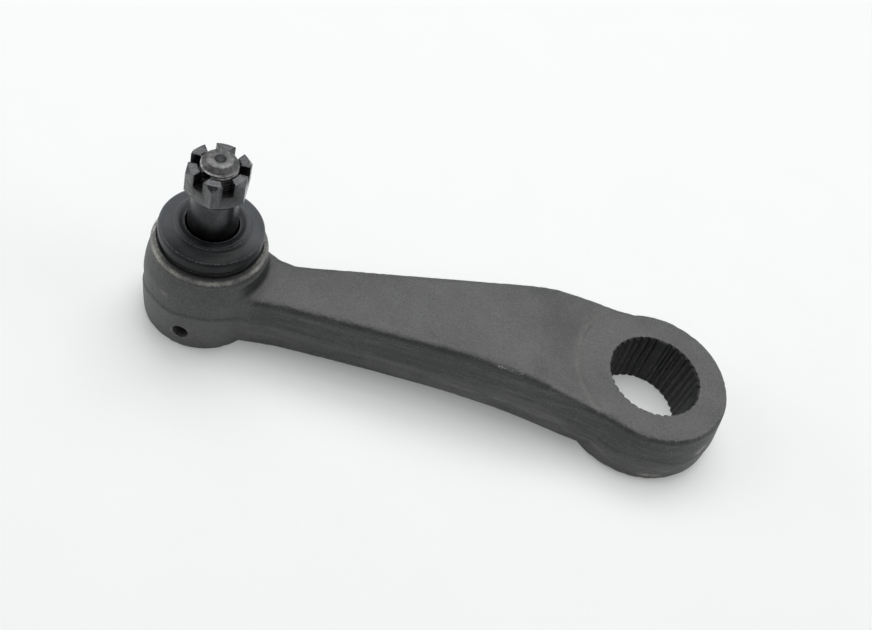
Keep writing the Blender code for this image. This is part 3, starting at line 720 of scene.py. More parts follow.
def easeTop(points, normals, pairs):  # smooths the pad's edge and the line where the top turns down
    radius = polar(points, ballX)[0]
    eyeRadius = polar(points, eyeX)[0]
    onTop = points[:, 2] / mm > forging["topAbove"]
    outside, width, facing, rounds = forging["padEase"]
    padEdge = hump(eyeRadius, forging["padRadius"] + outside, width) * (normals[:, 2] > facing) * onTop
    for _ in range(rounds):
        points[:, 2] += padEdge * (neighbourMean(points[:, 2], pairs) - points[:, 2])
    width, facing, rounds = forging["bendEase"]
    pastBend = downSlope(points - np.array([ballX + forging["bendPlace"] * mm, 0, 0])) / mm
    bendEdge = hump(pastBend, 0, width) * (normals[:, 2] > facing) * onTop
    bendEdge *= radius > forging["bendEaseFrom"]
    for _ in range(rounds):
        points[:, 2] += bendEdge * (neighbourMean(points[:, 2], pairs) - points[:, 2])


def weatherSkin(mesh):  # forged skin: slow waves, nibbled edges and the steps left by the dies, all inward
    points, normals, pairs = surfaceArrays(mesh)
    easeTop(points, normals, pairs)
    at = survey(points, normals, pairs)
    waves = sum(share * lumps(points, scale, offset) for scale, offset, share in forging["waves"])
    sunk = np.clip(forging["waveHeight"] * waves - forging["waveSink"], -forging["waveDeepest"], 0.0)
    edge = ramp(ridgeMeasure(points, normals, pairs, 3), *forging["nibbleRidge"])
    sunk -= edge * np.clip(lumps(points, *forging["nibbleNoise"]) + 0.05, 0, 1) * forging["nibbleDepth"]
    side = 1 - smoothStep(np.abs(normals[:, 2]), *forging["wallLean"])
    onHousing = side * (at.radius < forging["housingWide"])
    above = at.height - ledgeLine(at.angle)
    sunk -= forging["ledgeDepth"] * onHousing * plateau(above, *forging["ledgeStep"])
    onWall = side * (at.radius >= forging["housingWide"])
    wander = forging["partingWander"] * lumps(points, *forging["partingNoise"])
    below = wallDrop(at) - partingLine(at) + wander
    sunk -= forging["partingDepth"] * onWall * plateau(below, *forging["partingStep"])
    sunk[at.height < forging["flatFoot"]] = 0
    mesh.vertices.foreach_set("co", (points + normals * (sunk * mm)[:, None]).ravel())
    mesh.update()


# what the coat shows, its wear and the painted light and shade on it, in millimetres, degrees round the
# stud's or the eye's axis and shares of a wall
skinWearAndPaintedLight = {
    "wallLean": (0.60, 0.88),
    "housingBlend": 1.5,  # to each side of the housing's radius
    "housingStreaks": 0.15,
    "edgeRidge": (180, 600),  # sharpness at which an edge starts to wear, and at which it wears most
    "wander": 0.03, "wanderNoise": (60.0, 21.0),  # of the lines along the walls
    "lowerWallBounce": (-0.10, 0.10, 0.50),  # painted bounce light from the floor on the lower wall, past the parting line: from, to and how much lighter
    "wallTone": 0.03,  # painted shade: the tone of the upper wall, where 0.5 is the level faces' tone
    "topEdgeShade": (0.08, 0.19, 0.42),  # painted shade under the top edge: from, to and how much darker
    "seamWidth": 0.022, "seamDark": 0.45, "seamReach": (24, 32, 95, 120),
    # painted light on the slope down to the eye, where it turns away from the lamps
    "slopeLight": 0.25, "slopeLean": (0.03, 0.28), "slopeLevel": (0.85, 0.92), "slopeFrom": 80,
    "flashPlace": 0.70, "flashWidth": 0.020, "flashReach": (84, 100, 150), "flashNoise": (150.0, 31.0),
    "flashRub": 0.35,
    "underEdge": (0.0, 0.03, 0.07, 0.15), "underEdgeDark": 0.30,
    # painted bounce light on the housing's foot and painted shade on its whole wall
    "footLight": 0.20, "footEdge": (-0.8, 0.6), "housingShade": 0.10,
    "ledgeShadow": (0.7, 0.7, 0.32),  # place above the ledge, width and strength, as in the next ones
    # painted highlight along the ledge, on the left
    "ledgeGleam": (-1.6, 0.8, 0.16), "gleamArc": (-118, -100),
    # painted shade on the housing's front
    "frontShade": 0.10, "frontArc": (-126, -117, -60, -35), "frontFrom": (0.0, 1.0),
    "rimShadow": (33.3, 0.9, 0.30), "rimShadowArc": (-150, -125, -20),
    # width of the line round the rim's outer edge, partly worn coat and partly painted highlight
    "rimBand": (17.3, 20.0), "rimLineWidth": 0.40,
    "rimFacing": (-0.2, 0.8, 0.45),  # the part that faces the front, where the rim's painted highlight is strongest: from, to and the least share behind
    "leftRim": (135, 0.20), "rightRim": (20, 0.12),  # angle from the shank's side and strength
    "patches": (  # turns in a metre, place in the noise, middle, swing, least and most
        (110.0, 5.0, 0.75, 1.3, 0.15, 1.0), (330.0, 9.0, 0.8, 1.4, 0.2, 1.4)),
    # painted highlight along the pad's edge
    "padArcHighlight": (0.5, 0.9, 0.13), "padHighlightFacing": (0.55, 0.80), "padHighlightLevel": 0.8,
    "wallMarks": (  # angle, height, spread of both and strength of the scuffs on the housing
        (-120, 24, 3.5, 0.9, 0.30), (-92, 30.5, 3.5, 0.9, 0.22), (-64, 30.5, 3.5, 0.9, 0.22)),
    "eyeMarks": (  # the same on the eye's wall
        (-80, 3.4, 9.0, 0.8, 0.80), (-66, 5.8, 5.0, 0.6, 0.50), (-43, 13.0, 6.0, 1.5, 0.90),
        (-24, 9.0, 9.0, 3.5, 0.25)),
    "marksFrom": 19.8, "eyeFrom": 140, "eyeOutside": 20,
    "eyeSeam": ((-100, 12.5), (-80, 12.0), (-66, 10.8), (-45, 7.6)),  # angle and height of a fine line
    "eyeSeamWidth": 0.4, "eyeSeamDark": 0.55,
    "rimChips": ((174.0, 5.0),),  # angle on the rim and width
    "rimChipLine": (18.8, 0.7), "rimChipFrom": 33,
    "edgeChips": ((103.5, 1.6, 0.8), (109.0, 2.6, 0.5)),  # place on the near top edge, length and strength
    "chipRidge": (180, 320), "chipFrom": 19,
    "chipFacing": (-0.15, 0.45),  # parts of the normal, to the front and upwards
    # painted shade in the bore, less on the blind teeth whose lit side shows, in the port and in the groove
    "boreShade": 0.90, "blindLight": 0.28, "blindHalf": 5, "portShade": 0.98, "grooveShade": 0.85,
    "boreZone": (17.7, 0.4, 22.2),  # inside this radius and between these heights
    "leadZone": (16.75, 0.2),
    "portZone": (0.1, 20.3, 30),  # past its radius, inside this radius of the housing, half its angle
    "grooveZone": (15.5, 0.05, 35.2, 36.4),  # from this radius to this far past its own, and its heights
    "facing": (-150, -118, -40, -8), "rimShade": (17.9, 18.55, 0.95),
    "underRim": (33.95, 0.6, 0.45), "underRimFrom": 19.2,
    "neckSide": (-52, -34, 5, 50), "neckCrease": (24.5, 27.5, 33.0, 34.2), "neckFrom": 19.4,
    "creaseDark": 0.86,
}


def shankPaintedLight(at):  # painted light and shade on the shank, round 0.5: bounce light on the lower wall, shade on the upper wall and under the top edge, light on the slope down to the eye, and a dark line along the parting line
    low, high, lighter = skinWearAndPaintedLight["lowerWallBounce"]
    start, end, darker = skinWearAndPaintedLight["topEdgeShade"]
    seam = hump(at.drop + at.wander, 0, skinWearAndPaintedLight["seamWidth"]) * plateau(at.along, *skinWearAndPaintedLight["seamReach"])
    bands = skinWearAndPaintedLight["wallTone"] - 0.5 + lighter * smoothStep(at.drop, low, high)
    bands -= darker * (1 - smoothStep(at.fall, start, end)) + skinWearAndPaintedLight["seamDark"] * seam
    slope = smoothStep(downSlope(at.normals), *skinWearAndPaintedLight["slopeLean"])
    slope *= smoothStep(at.normals[:, 2], *skinWearAndPaintedLight["slopeLevel"]) * (at.along > skinWearAndPaintedLight["slopeFrom"])
    return 0.5 + at.shankWall * bands + skinWearAndPaintedLight["slopeLight"] * slope * (at.height > forging["topAbove"])


def flashLine(at):  # the broken line that the trimmed flash left
    start, full, end = skinWearAndPaintedLight["flashReach"]
    line = hump(at.fall + at.wander, skinWearAndPaintedLight["flashPlace"], skinWearAndPaintedLight["flashWidth"]) * at.shankWall
    line *= smoothStep(at.along, start, full) * (at.along < end) * at.nearSide
    return line * np.clip(0.5 + 1.5 * lumps(at.points, *skinWearAndPaintedLight["flashNoise"]), 0, 1)


def eyeLine(at):  # a fine dark line round the near side of the eye
    angles, heights = zip(*skinWearAndPaintedLight["eyeSeam"])
    line = hump(at.height, np.interp(at.eyeAngle, angles, heights), skinWearAndPaintedLight["eyeSeamWidth"])
    return line * plateau(at.eyeAngle, *angles)


# painted light and shade on the housing wall: a lighter foot, a darker wall and front, a painted shadow and
# highlight at the ledge and a painted shadow under the rim
def housingPaintedLight(at):
    above = at.height - ledgeLine(at.angle)
    left = (1 - smoothStep(at.angle, *skinWearAndPaintedLight["gleamArc"])) * (at.angle < 0)
    front = plateau(at.angle, *skinWearAndPaintedLight["frontArc"])
    low, high, end = skinWearAndPaintedLight["rimShadowArc"]
    shadowed = smoothStep(at.angle, low, high) * (at.angle < end)
    tone = skinWearAndPaintedLight["footLight"] * (1 - smoothStep(above, *skinWearAndPaintedLight["footEdge"])) - skinWearAndPaintedLight["housingShade"]
    tone += left * softLine(above, *skinWearAndPaintedLight["ledgeGleam"]) - softLine(above, *skinWearAndPaintedLight["ledgeShadow"])
    tone -= skinWearAndPaintedLight["frontShade"] * front * smoothStep(above, *skinWearAndPaintedLight["frontFrom"])
    return tone - shadowed * softLine(at.height, *skinWearAndPaintedLight["rimShadow"])


def scuffs(angle, height, marks):
    return sum(hump(angle, turn, wide) * hump(height, z, tall) * share
               for turn, z, wide, tall, share in marks)


def wearAndHighlightShare(at):  # where handling has taken the coat down: the rim and scuffs; the line round the rim's outer edge is partly worn coat and partly painted highlight, strongest at the front, and the pad's arc is a painted highlight
    patchy = 1.0
    for scale, offset, middle, swing, least, most in skinWearAndPaintedLight["patches"]:
        patchy = patchy * np.clip(middle + swing * lumps(at.points, scale, offset), least, most)
    low, high, behind = skinWearAndPaintedLight["rimFacing"]
    ring = hump(at.radius, forging["rimLine"], skinWearAndPaintedLight["rimLineWidth"]) * at.onRim * patchy
    ring *= behind + (1 - behind) * smoothStep(-np.sin(np.radians(at.angle)), low, high)
    leftFrom, left = skinWearAndPaintedLight["leftRim"]
    rightTo, right = skinWearAndPaintedLight["rightRim"]
    turned = np.abs(at.angle)
    rim = left * at.onRim * (turned > leftFrom) + right * at.onRim * (turned < rightTo)
    outside, width, strength = skinWearAndPaintedLight["padArcHighlight"]
    arc = strength * hump(at.eyeRadius, forging["padRadius"] + outside, width)
    arc *= (at.normals[:, 2] > skinWearAndPaintedLight["padHighlightLevel"]) * (at.height > forging["topAbove"])
    arc *= smoothStep(-np.cos(np.radians(at.eyeAngle)), *skinWearAndPaintedLight["padHighlightFacing"])
    marks = scuffs(at.angle, at.height, skinWearAndPaintedLight["wallMarks"]) * at.housing
    marks *= at.radius > skinWearAndPaintedLight["marksFrom"]
    marks += scuffs(at.eyeAngle, at.height, skinWearAndPaintedLight["eyeMarks"]) * at.onEye * patchy
    return ring + rim + arc + marks + skinWearAndPaintedLight["flashRub"] * flashLine(at)


def chippedShare(at):
    nearEdge = smoothStep(at.ridge, *skinWearAndPaintedLight["chipRidge"]) * (at.height > skinWearAndPaintedLight["chipFrom"])
    forward, upward = skinWearAndPaintedLight["chipFacing"]
    nearEdge *= (at.normals[:, 1] < forward) * (at.normals[:, 2] > upward)
    chips = sum(hump(at.along, x, wide) * share for x, wide, share in skinWearAndPaintedLight["edgeChips"]) * nearEdge
    onRim = hump(at.radius, *skinWearAndPaintedLight["rimChipLine"]) * (at.height > skinWearAndPaintedLight["rimChipFrom"])
    return chips + sum(hump(np.abs(at.angle), turn, wide) for turn, wide in skinWearAndPaintedLight["rimChips"]) * onRim


def holePaintedShade(at):  # the cut holes: bore, grease port and groove, painted dark: painted shade in all three, and in the bore also its dark oiled metal
    wall, low, high = skinWearAndPaintedLight["boreZone"]
    leadWall, leadLow = skinWearAndPaintedLight["leadZone"]
    inBore = (at.eyeRadius < wall) & within(at.height, low, high)
    inBore |= (at.eyeRadius < leadWall) & (at.height > leadLow)
    blindTurn = 360 * forging["blindEvery"] / forging["teeth"]
    fromBlind = np.abs((at.eyeAngle - forging["splineAngle"] + blindTurn / 2) % blindTurn - blindTurn / 2)
    bore = inBore * (skinWearAndPaintedLight["boreShade"] - skinWearAndPaintedLight["blindLight"] * (fromBlind < skinWearAndPaintedLight["blindHalf"]))
    turn = math.radians(forging["portAngle"])
    across = at.along * -math.sin(turn) + at.points[:, 1] / mm * math.cos(turn)
    fromPort = np.hypot(across, at.height - forging["portHeight"])
    margin, skinRadius, halfAngle = skinWearAndPaintedLight["portZone"]
    inPort = (fromPort < forging["portRadius"] + margin) & (at.radius < skinRadius)
    inPort &= np.abs(at.angle - forging["portAngle"]) < halfAngle
    inner, margin, low, high = skinWearAndPaintedLight["grooveZone"]
    inGroove = within(at.radius, inner, forging["grooveOuter"] + margin) & within(at.height, low, high)
    return np.maximum.reduce([bore, inPort * skinWearAndPaintedLight["portShade"], inGroove * skinWearAndPaintedLight["grooveShade"]])


def formShade(at):  # soft shade round the rim, in the neck's crease and under the shank's top edge
    facing = plateau(at.angle, *skinWearAndPaintedLight["facing"])
    start, end, strength = skinWearAndPaintedLight["rimShade"]
    rim = strength * facing * (1 - smoothStep(at.radius, start, end)) * at.onRim
    under = facing * softLine(at.height, *skinWearAndPaintedLight["underRim"]) * at.housing
    under *= at.radius > skinWearAndPaintedLight["underRimFrom"]
    crease = skinWearAndPaintedLight["creaseDark"] * plateau(at.angle, *skinWearAndPaintedLight["neckSide"])
    crease *= plateau(at.height, *skinWearAndPaintedLight["neckCrease"]) * (at.radius > skinWearAndPaintedLight["neckFrom"]) * at.housing
    edge = skinWearAndPaintedLight["underEdgeDark"] * at.shankWall * plateau(at.fall, *skinWearAndPaintedLight["underEdge"]) * at.nearSide
    return np.maximum.reduce([rim, under, crease, edge, skinWearAndPaintedLight["eyeSeamDark"] * at.onEye * eyeLine(at)])


def shadeSkin(mesh):  # attributes that the coat reads
    at = survey(*surfaceArrays(mesh))
    blend = skinWearAndPaintedLight["housingBlend"]
    side = 1 - smoothStep(np.abs(at.normals[:, 2]), *skinWearAndPaintedLight["wallLean"])
    at.housing = 1 - smoothStep(at.radius, forging["housingWide"] - blend, forging["housingWide"] + blend)
    at.shankWall = side * (1 - at.housing)
    at.onEye = side * (at.along > skinWearAndPaintedLight["eyeFrom"]) * (at.eyeRadius > skinWearAndPaintedLight["eyeOutside"])
    at.onRim = within(at.radius, *skinWearAndPaintedLight["rimBand"]) & (at.height > forging["rimHeight"])
    at.ridge = ridgeMeasure(at.points, at.normals, at.pairs, 2)
    at.fall = wallDrop(at)
    at.drop = at.fall - partingLine(at)
    at.wander = skinWearAndPaintedLight["wander"] * lumps(at.points, *skinWearAndPaintedLight["wanderNoise"])
    # painted light and shade on the shank and the housing
    band = shankPaintedLight(at) + side * at.housing * housingPaintedLight(at)
    keepAttribute(mesh, "edgeWearAndHighlight", ramp(at.ridge, *skinWearAndPaintedLight["edgeRidge"]))
    keepAttribute(mesh, "wallShare", side * (1 - (1 - skinWearAndPaintedLight["housingStreaks"]) * at.housing))
    keepAttribute(mesh, "paintedLightAndShade", np.clip(band, 0, 1))
    keepAttribute(mesh, "rubbedAndHighlight", np.clip(wearAndHighlightShare(at), 0, 1))
    keepAttribute(mesh, "chipped", np.clip(chippedShare(at), 0, 1))
    keepAttribute(mesh, "holeShade", np.maximum(holePaintedShade(at), formShade(at)))


stud = {
    "ballRadius": 12.5, "ballHeight": 19.0, "neckRadius": 6.8, "neckEnd": 41.0,
    "taperBase": 43.8, "taperTop": 58.0, "taperTopRadius": 7.44, "taperRate": 1 / 16,
    "taperChamfer": (0.30, 0.35),  # inwards and down
    "threadRadius": 5.98, "threadDepth": 0.76, "pitch": 1.25, "threadStart": 59.2, "end": 72.9,
    "threadTurn": (0.10, 0.52, 0.70, 1.12),  # heights in a turn: foot, both edges of the crest, foot
    "threadRunOut": (0.2, 0.4), "coreInset": 0.15, "coreLength": 1.5,
    "turnSteps": 72, "bodySteps": 96, "ballSteps": 24, "crossHoleSteps": 32,
    "endFaceRadius": 4.05, "leadLength": 2.1,
    "endEdge": ((0.25, 0.22), (0.10, 0.09), (-0.12, 0.0)),  # past the end face's radius, and below the end
    "dimpleRadius": 1.80,
    "dimplePath": (  # radius and depth
        (1.90, 0.0), (1.70, 0.10), (1.35, 0.288), (0.95, 0.36), (0.3, 0.324), (0, 0.306)),
    "crossHoleRadius": 1.6, "crossHoleHeight": 69.0, "crossHoleAngle": -119.0, "crossHoleHalf": 9.0,
    "crestShine": (0.16, 0.02),  # below the thread's radius, where a crest starts to shine and shines most
    "crestShineBelow": 0.35, "fullShineFrom": 69.5,  # the crests are bright, partly polished metal and partly painted highlight; they shine most above the nut and less inside it, where it is shaded
    "endEdgeBright": 0.20, "leadBright": 0.20, "markHeight": 54.0, "markLineBright": 0.08, "underMarkShade": 0.30,
    # painted shade: on the neck inside the boot, in the cross hole, below the mark, on the thread inside
    # the nut and in the end's dimple
    "bootTop": 45.5, "crossHoleDark": (66.5, 71.5), "hollowShade": 0.8,
    "nutTop": 69.6, "inNutShade": 0.75, "nutCrest": 0.45, "dimpleShade": 0.36,
    "mattRise": (58.5, 60.0),
    "speckShare": 0.25, "roughness": (0.20, 0.30), "metallic": 0.9, "toneLift": 1.25,
}


def threadForm():
    crest, depth, pitch = stud["threadRadius"], stud["threadDepth"], stud["pitch"]
    root = crest - depth
    rise, crestStart, crestEnd, fall = stud["threadTurn"]
    outline = (
        (root, 0.0), (root, rise), (crest, crestStart), (crest, crestEnd), (root, fall), (root, pitch))
    start = stud["threadStart"] - 2 * pitch
    turns = math.ceil((stud["end"] - start) / pitch) + 2
    steps = stud["turnSteps"]
    bm = bmesh.new()
    verts = [bm.verts.new((ballX + r * mm, 0, (start + z) * mm)) for r, z in outline]
    edges = [bm.edges.new(pair) for pair in zip(verts, verts[1:])]
    bmesh.ops.spin(bm, geom=verts + edges, cent=(ballX, 0, 0), axis=(0, 0, 1),
                   dvec=(0, 0, pitch * mm / steps), angle=2 * math.pi * turns, steps=steps * turns,
                   use_merge=False)
    bmesh.ops.remove_doubles(bm, verts=bm.verts, dist=1e-6)
    for z, keepAbove in ((stud["threadStart"] - 0.5, True), (stud["end"] + 0.3, False)):
        bmesh.ops.bisect_plane(bm, geom=bm.verts[:] + bm.edges[:] + bm.faces[:], dist=1e-7,
                               plane_co=(0, 0, z * mm), plane_no=(0, 0, 1),
                               clear_inner=keepAbove, clear_outer=not keepAbove)
        rim = [edge for edge in bm.edges
               if edge.is_boundary and all(abs(v.co.z - z * mm) < 1e-6 for v in edge.verts)]
        bmesh.ops.edgeloop_fill(bm, edges=rim)
    bmesh.ops.recalc_face_normals(bm, faces=bm.faces)
    return shapeFrom("thread", bm)


def threadEnvelope():  # trims the thread at its run-out, its lead and the dimpled end
    root, wide = stud["threadRadius"] - stud["threadDepth"], stud["threadRadius"] + 0.02
    start, end = stud["threadStart"], stud["end"]
    profile = [(0, start - 2), (root - 0.02, start - 0.9), (wide, start + 0.1)]
    profile += [(wide, end - stud["leadLength"])]
    profile += [(stud["endFaceRadius"] + outward, end - down) for outward, down in stud["endEdge"]]
    profile += [(radius, end - depth) for radius, depth in stud["dimplePath"]]
    return shapeFrom("threadEnvelope", spunForm(profile, stud["bodySteps"], ballX))


def taperRadius(z):
    return stud["taperTopRadius"] + (stud["taperTop"] - z) * stud["taperRate"]


def studBody():  # ball, neck and taper, with a core that reaches into the thread
    neckAngle = math.degrees(math.acos(stud["neckRadius"] / stud["ballRadius"]))
    root = stud["threadRadius"] - stud["threadDepth"]
    base, top, start = stud["taperBase"], stud["taperTop"], stud["threadStart"]
    inward, down = stud["taperChamfer"]
    outward, below = stud["threadRunOut"]
    core, coreTop = root - stud["coreInset"], start + stud["coreLength"]
    profile = [(0, stud["ballHeight"] - stud["ballRadius"])]
    profile += arcPoints(0, stud["ballHeight"], stud["ballRadius"], -90, neckAngle, stud["ballSteps"])[1:]
    profile += [(stud["neckRadius"], stud["neckEnd"]), (taperRadius(base), base),
                (taperRadius(top - down), top - down), (taperRadius(top) - inward, top),
                (root + outward, start - below), (core, start), (core, coreTop), (0, coreTop)]
    return shapeFrom("threaded_stud", spunForm(profile, stud["bodySteps"], ballX))


def makeStud():
    body = studBody()
    thread = threadForm()
    addBoolean(thread, threadEnvelope(), "INTERSECT")
    settle(thread)
    addBoolean(body, thread, "UNION")
    half = stud["crossHoleHalf"]
    hole = plugForm(stud["crossHoleRadius"], -half, half, stud["crossHoleSteps"])
    layAcross(hole, stud["crossHoleHeight"], stud["crossHoleAngle"])
    addBoolean(body, shapeFrom("crossHole", hole), "DIFFERENCE")
    settle(body, 24)
    shadeStud(body.data)
    paint(body, steelFinish("turnedSteel", stud))
    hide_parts("ball_stud")
    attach(body, "stud")
    print("stud:", len(body.data.polygons), "faces")


def shadeStud(mesh):
    at = survey(*surfaceArrays(mesh))
    start, end, outer, mark = stud["threadStart"], stud["end"], stud["threadRadius"], stud["markHeight"]
    dull, bright = stud["crestShine"]
    crest = ramp(at.radius, outer - dull, outer - bright) * (at.height > start)
    # bright crests, partly polished metal and partly painted highlight, and a lighter end edge, lead and
    # line at the mark
    wearAndHighlight = crest * np.where(at.height > stud["fullShineFrom"], 1.0, stud["crestShineBelow"])
    wearAndHighlight += stud["endEdgeBright"] * hump(at.radius, stud["endFaceRadius"], 0.2) * (at.height > end - 0.35)
    wearAndHighlight += stud["leadBright"] * (at.height > end - stud["leadLength"]) * (at.radius > stud["dimpleRadius"])
    wearAndHighlight += stud["markLineBright"] * hump(at.height, mark, 0.35)
    inCrossHole = (at.radius < outer - 0.9) & within(at.height, *stud["crossHoleDark"])
    nutShade = stud["inNutShade"] - stud["nutCrest"] * crest
    dimple = hump(at.radius, stud["dimpleRadius"] - 0.5, 0.45) * (at.height > end - 0.5)
    # painted shade
    shade = np.maximum.reduce([
        stud["hollowShade"] * ((at.height < stud["bootTop"]) | inCrossHole),
        stud["underMarkShade"] * (1 - smoothStep(at.height, mark - 0.6, mark)),
        within(at.height, start, stud["nutTop"]) * nutShade,
        stud["dimpleShade"] * dimple])
    keepAttribute(mesh, "edgeWearAndHighlight", np.clip(wearAndHighlight, 0, 1))
    keepAttribute(mesh, "holeShade", shade)
    keepAttribute(mesh, "mattShare", smoothStep(at.height, *stud["mattRise"]))


nut = {
    "acrossFlats": 18.6, "base": 60.2, "height": 9.9, "bore": 6.3, "boreLead": 0.6,
    "slotWidth": 3.7, "slotDepth": 5.0, "slotCorner": 0.35, "cornerAngle": -89.0,
    "topChamferRadius": 9.4, "baseChamferRadius": 9.2, "chamferSlope": 1.3, "edge": 0.16,
    "chamferSteps": 96, "boreSteps": 70, "sharpAngle": 24,
    "edgeRidge": (800, 3300), "edgeWearAndHighlight": 0.5,  # sharpness at which an edge starts to wear, and at which it wears most
    "brightFlat": -30.0,  # the flat with a painted highlight, where it catches the light, in degrees from the corner
    "brightFacing": (0.93, 0.98), "flatHighlight": 0.06,
    "brightSide": (118, 136, 0.15),  # how far round that flat the painted highlight gets brighter still, and by how much
    # painted shade in the slots and the bore
    "hollowShade": 0.8,
    "speckShare": 0.60, "roughness": (0.20, 0.32), "metallic": 0.65, "toneLift": 1.50,
}


def slotForm(name, reach, place):  # a bar across the nut, with rounded lower edges
    tall = nut["slotDepth"] + overrun
    bar = bmesh.new()
    bmesh.ops.create_cube(bar, size=1.0)
    bmesh.ops.scale(bar, verts=bar.verts, vec=(2 * reach * mm, nut["slotWidth"] * mm, tall * mm))
    lower = [edge for edge in bar.edges
             if all(v.co.z < 0 for v in edge.verts) and abs(edge.verts[0].co.y - edge.verts[1].co.y) < 1e-6]
    bmesh.ops.bevel(bar, geom=lower, offset=nut["slotCorner"] * mm, offset_type="OFFSET", affect="EDGES",
                    segments=3, profile=0.5, material=-1)
    middle = nut["height"] - nut["slotDepth"] + tall / 2
    bmesh.ops.translate(bar, verts=bar.verts, vec=(0, 0, middle * mm))
    bmesh.ops.transform(bar, matrix=place, verts=bar.verts)
    return shapeFrom(name, bar)


def makeNut():
    corner = nut["acrossFlats"] / math.sqrt(3)
    wide = corner + overrun
    topDrop = (wide - nut["topChamferRadius"]) * nut["chamferSlope"]
    baseRise = (wide - nut["baseChamferRadius"]) / nut["chamferSlope"]
    height, boreRadius, lead = nut["height"], nut["bore"], nut["boreLead"]
    leadRadius = boreRadius + lead + overrun
    turn = Matrix.Rotation(math.radians(nut["cornerAngle"]), 4, "Z")
    place = Matrix.Translation((ballX, 0, nut["base"] * mm)) @ turn
    blank = plugForm(corner, -overrun, height + overrun, 6)
    envelope = spunForm([(0, 0), (nut["baseChamferRadius"], 0), (wide, baseRise), (wide, height - topDrop),
                         (nut["topChamferRadius"], height), (0, height)], nut["chamferSteps"])
    bore = spunForm([(0, -overrun), (leadRadius, -overrun), (boreRadius, lead), (boreRadius, height - lead),
                     (leadRadius, height + overrun), (0, height + overrun)], nut["boreSteps"])
    for form in (blank, envelope, bore):
        bmesh.ops.transform(form, matrix=place, verts=form.verts)
    body = shapeFrom("slotted_nut", blank)
    addBoolean(body, shapeFrom("nutEnvelope", envelope), "INTERSECT")
    addBoolean(body, shapeFrom("nutBore", bore), "DIFFERENCE")
    for pair in range(3):
        across = place @ Matrix.Rotation(math.radians(30 + 60 * pair), 4, "Z")
        addBoolean(body, slotForm(f"slot{pair}", wide, across), "DIFFERENCE")
    settle(body, nut["sharpAngle"])
    softenEdges(body, nut["edge"] * mm, 2, nut["sharpAngle"])
    settle(body, None)
    shadeNut(body.data)
    paint(body, steelFinish("nutSteel", nut))
    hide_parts("castle_nut")
    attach(body, "nut")
    print("nut:", len(body.data.polygons), "faces")


def shadeNut(mesh):
    at = survey(*surfaceArrays(mesh))
    turn = math.radians(nut["cornerAngle"] + nut["brightFlat"])
    facing = at.normals @ np.array([math.cos(turn), math.sin(turn), 0])
    start, end, added = nut["brightSide"]
    bright = smoothStep(facing, *nut["brightFacing"])
    bright *= nut["flatHighlight"] + added * smoothStep(-at.angle, start, end)
    wearAndHighlight = nut["edgeWearAndHighlight"] * ramp(ridgeMeasure(at.points, at.normals, at.pairs, 0), *nut["edgeRidge"])
    top = nut["base"] + nut["height"]
    inBore = (at.radius < nut["bore"] + 0.6) & (at.height < top - 1.0)
    fromSlot = np.radians((at.angle - nut["cornerAngle"]) % 60 - 30)
    inSlot = np.abs(at.radius * np.sin(fromSlot)) < nut["slotWidth"] / 2 + 0.03
    inSlot &= at.height > top - nut["slotDepth"] - 0.05
    # worn edges, and a painted highlight on one flat
    keepAttribute(mesh, "edgeWearAndHighlight", np.clip(wearAndHighlight + bright, 0, 1))
    keepAttribute(mesh, "holeShade", nut["hollowShade"] * (inBore | inSlot))


boot = {
    "profile": (  # radius and height, round the section
        (15.2, 36.95), (15.7, 36.92), (16.2, 36.92), (16.55, 37.08), (16.85, 37.5), (17.12, 38.2),
        (17.25, 39.2), (17.28, 40.4), (17.25, 41.3), (17.12, 41.9), (16.85, 42.25), (16.3, 42.50),
        (15.5, 42.78), (14.6, 43.02), (13.8, 43.16), (13.2, 43.28), (12.75, 43.46), (12.4, 43.76),
        (12.05, 44.08), (11.6, 44.32), (11.1, 44.42), (10.5, 44.34), (10.0, 44.12), (9.5, 43.98),
        (9.1, 44.04), (8.86, 44.02), (8.72, 43.75), (8.72, 43.0), (8.8, 42.5), (9.3, 42.4),
        (10.9, 42.5), (12.6, 41.9), (13.9, 41.3), (15.1, 40.6), (15.6, 39.8), (15.6, 39.0),
        (15.25, 38.7), (15.2, 38.0)),
    "steps": 96,
    "front": -80.0,  # degrees; painted light: the side that looks at the camera is painted the darkest, standing in for the boot's reflections
    "frontFade": (35, 80),  # degrees to each side of it
    "ring": (10.4, 11.6),  # radii between which the top turns from painted shade on the collar to painted light on the ring
    "tones": (0.03, 0.20, 0.72),  # painted tone at the front, and the painted light that the sides and the ring add
    "lines": ((8.95, 0.9), (10.2, 0.25), (12.15, 0.5), (16.65, 0.8)),  # radius and strength of the painted highlight lines
    "lineWidth": 0.16, "linesFrom": 42.0,
}


def makeBoot():
    body = shapeFrom("boot", spunForm(boot["profile"], boot["steps"], ballX), 180)
    rounding = body.modifiers.new("rounding", "SUBSURF")
    rounding.levels = rounding.render_levels = 1
    settle(body, 180)
    shadeBoot(body.data)
    paint(body, rubberFinish())
    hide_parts("dust_boot")
    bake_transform(body)
    print("boot:", len(body.data.polygons), "faces")


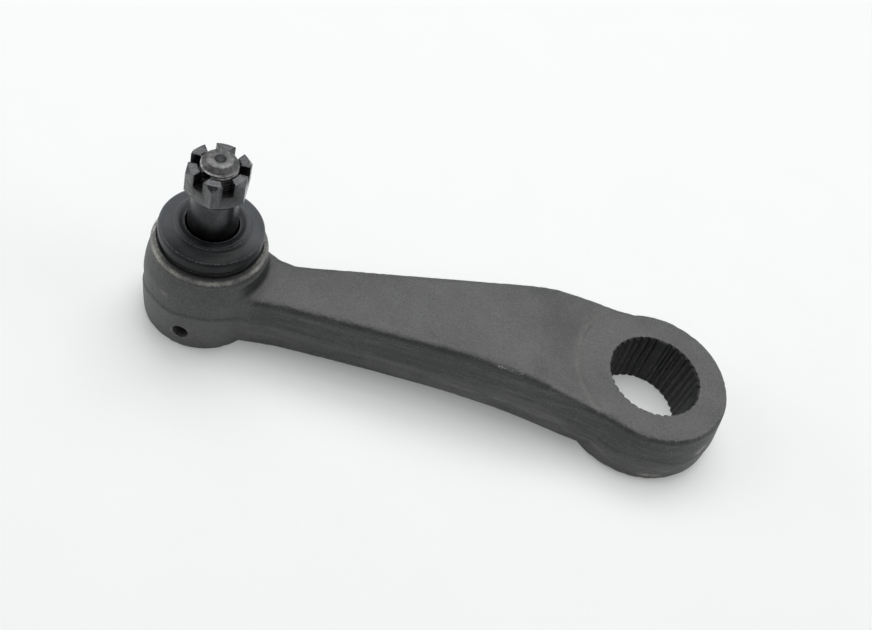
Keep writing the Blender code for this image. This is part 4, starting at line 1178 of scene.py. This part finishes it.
def shadeBoot(mesh):
    at = survey(*surfaceArrays(mesh))
    # painted light and shade, and painted highlight lines
    fromFront = np.abs((at.angle - boot["front"] + 180) % 360 - 180)
    turned = smoothStep(fromFront, *boot["frontFade"])
    least, sides, ring = boot["tones"]
    lines = sum(hump(at.radius, place, boot["lineWidth"]) * share for place, share in boot["lines"])
    keepAttribute(mesh, "bootPaintedLight", least + turned * (sides + ring * smoothStep(at.radius, *boot["ring"])))
    keepAttribute(mesh, "bootHighlightLines", np.clip(lines, 0, 1) * (at.height > boot["linesFrom"]))


innerPieces = {
    "finishes": {  # dark and light tone, roughness and metallic share
        "bearingResin": ((0.030, 0.030, 0.029), (0.046, 0.045, 0.043), 0.45, 0.0),
        "springSteel": ((0.26, 0.26, 0.27), (0.36, 0.36, 0.37), 0.32, 1.0),
        "coverPaint": ((0.055, 0.056, 0.056), (0.085, 0.086, 0.084), 0.5, 0.0),
    },
    "painted": {
        "upper_bearing": "bearingResin",
        "lower_bearing": "bearingResin",
        "preload_spring": "springSteel",
        "boot_ring": "springSteel",
        "cover_plate": "coverPaint",
    },
    "speck": 900.0,
    "roughnessSwing": 0.06,
    "relief": 0.00003,
}


def plainFinish(name, dark, light, roughness, metallic):
    material, tree, shader = newFinish(name)
    speck = grain(tree, objectPoints(tree), innerPieces["speck"], 3.0, 0.6)
    colour = blendColours(tree, spread(tree, speck, 0.3, 0.7), dark, light)
    tree.links.new(colour, shader.inputs["Base Color"])
    low, high = roughness - innerPieces["roughnessSwing"], roughness + innerPieces["roughnessSwing"]
    tree.links.new(spread(tree, speck, 0.3, 0.7, low, high), shader.inputs["Roughness"])
    shader.inputs["Metallic"].default_value = metallic
    tree.links.new(tiltNormal(tree, speck, innerPieces["relief"]), shader.inputs["Normal"])
    return material


def paintInnerPieces():  # they keep their CAD shapes
    made = {name: plainFinish(name, *look) for name, look in innerPieces["finishes"].items()}
    for nodeName, finish in innerPieces["painted"].items():
        paint(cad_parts[nodeName], made[finish])
    print("inner pieces painted")


makeCamera()
makeStudio()
print("camera and studio ready")
makeArm()
makeStud()
makeNut()
makeBoot()
paintInnerPieces()

bpy.context.scene.view_settings.view_transform = "Standard"
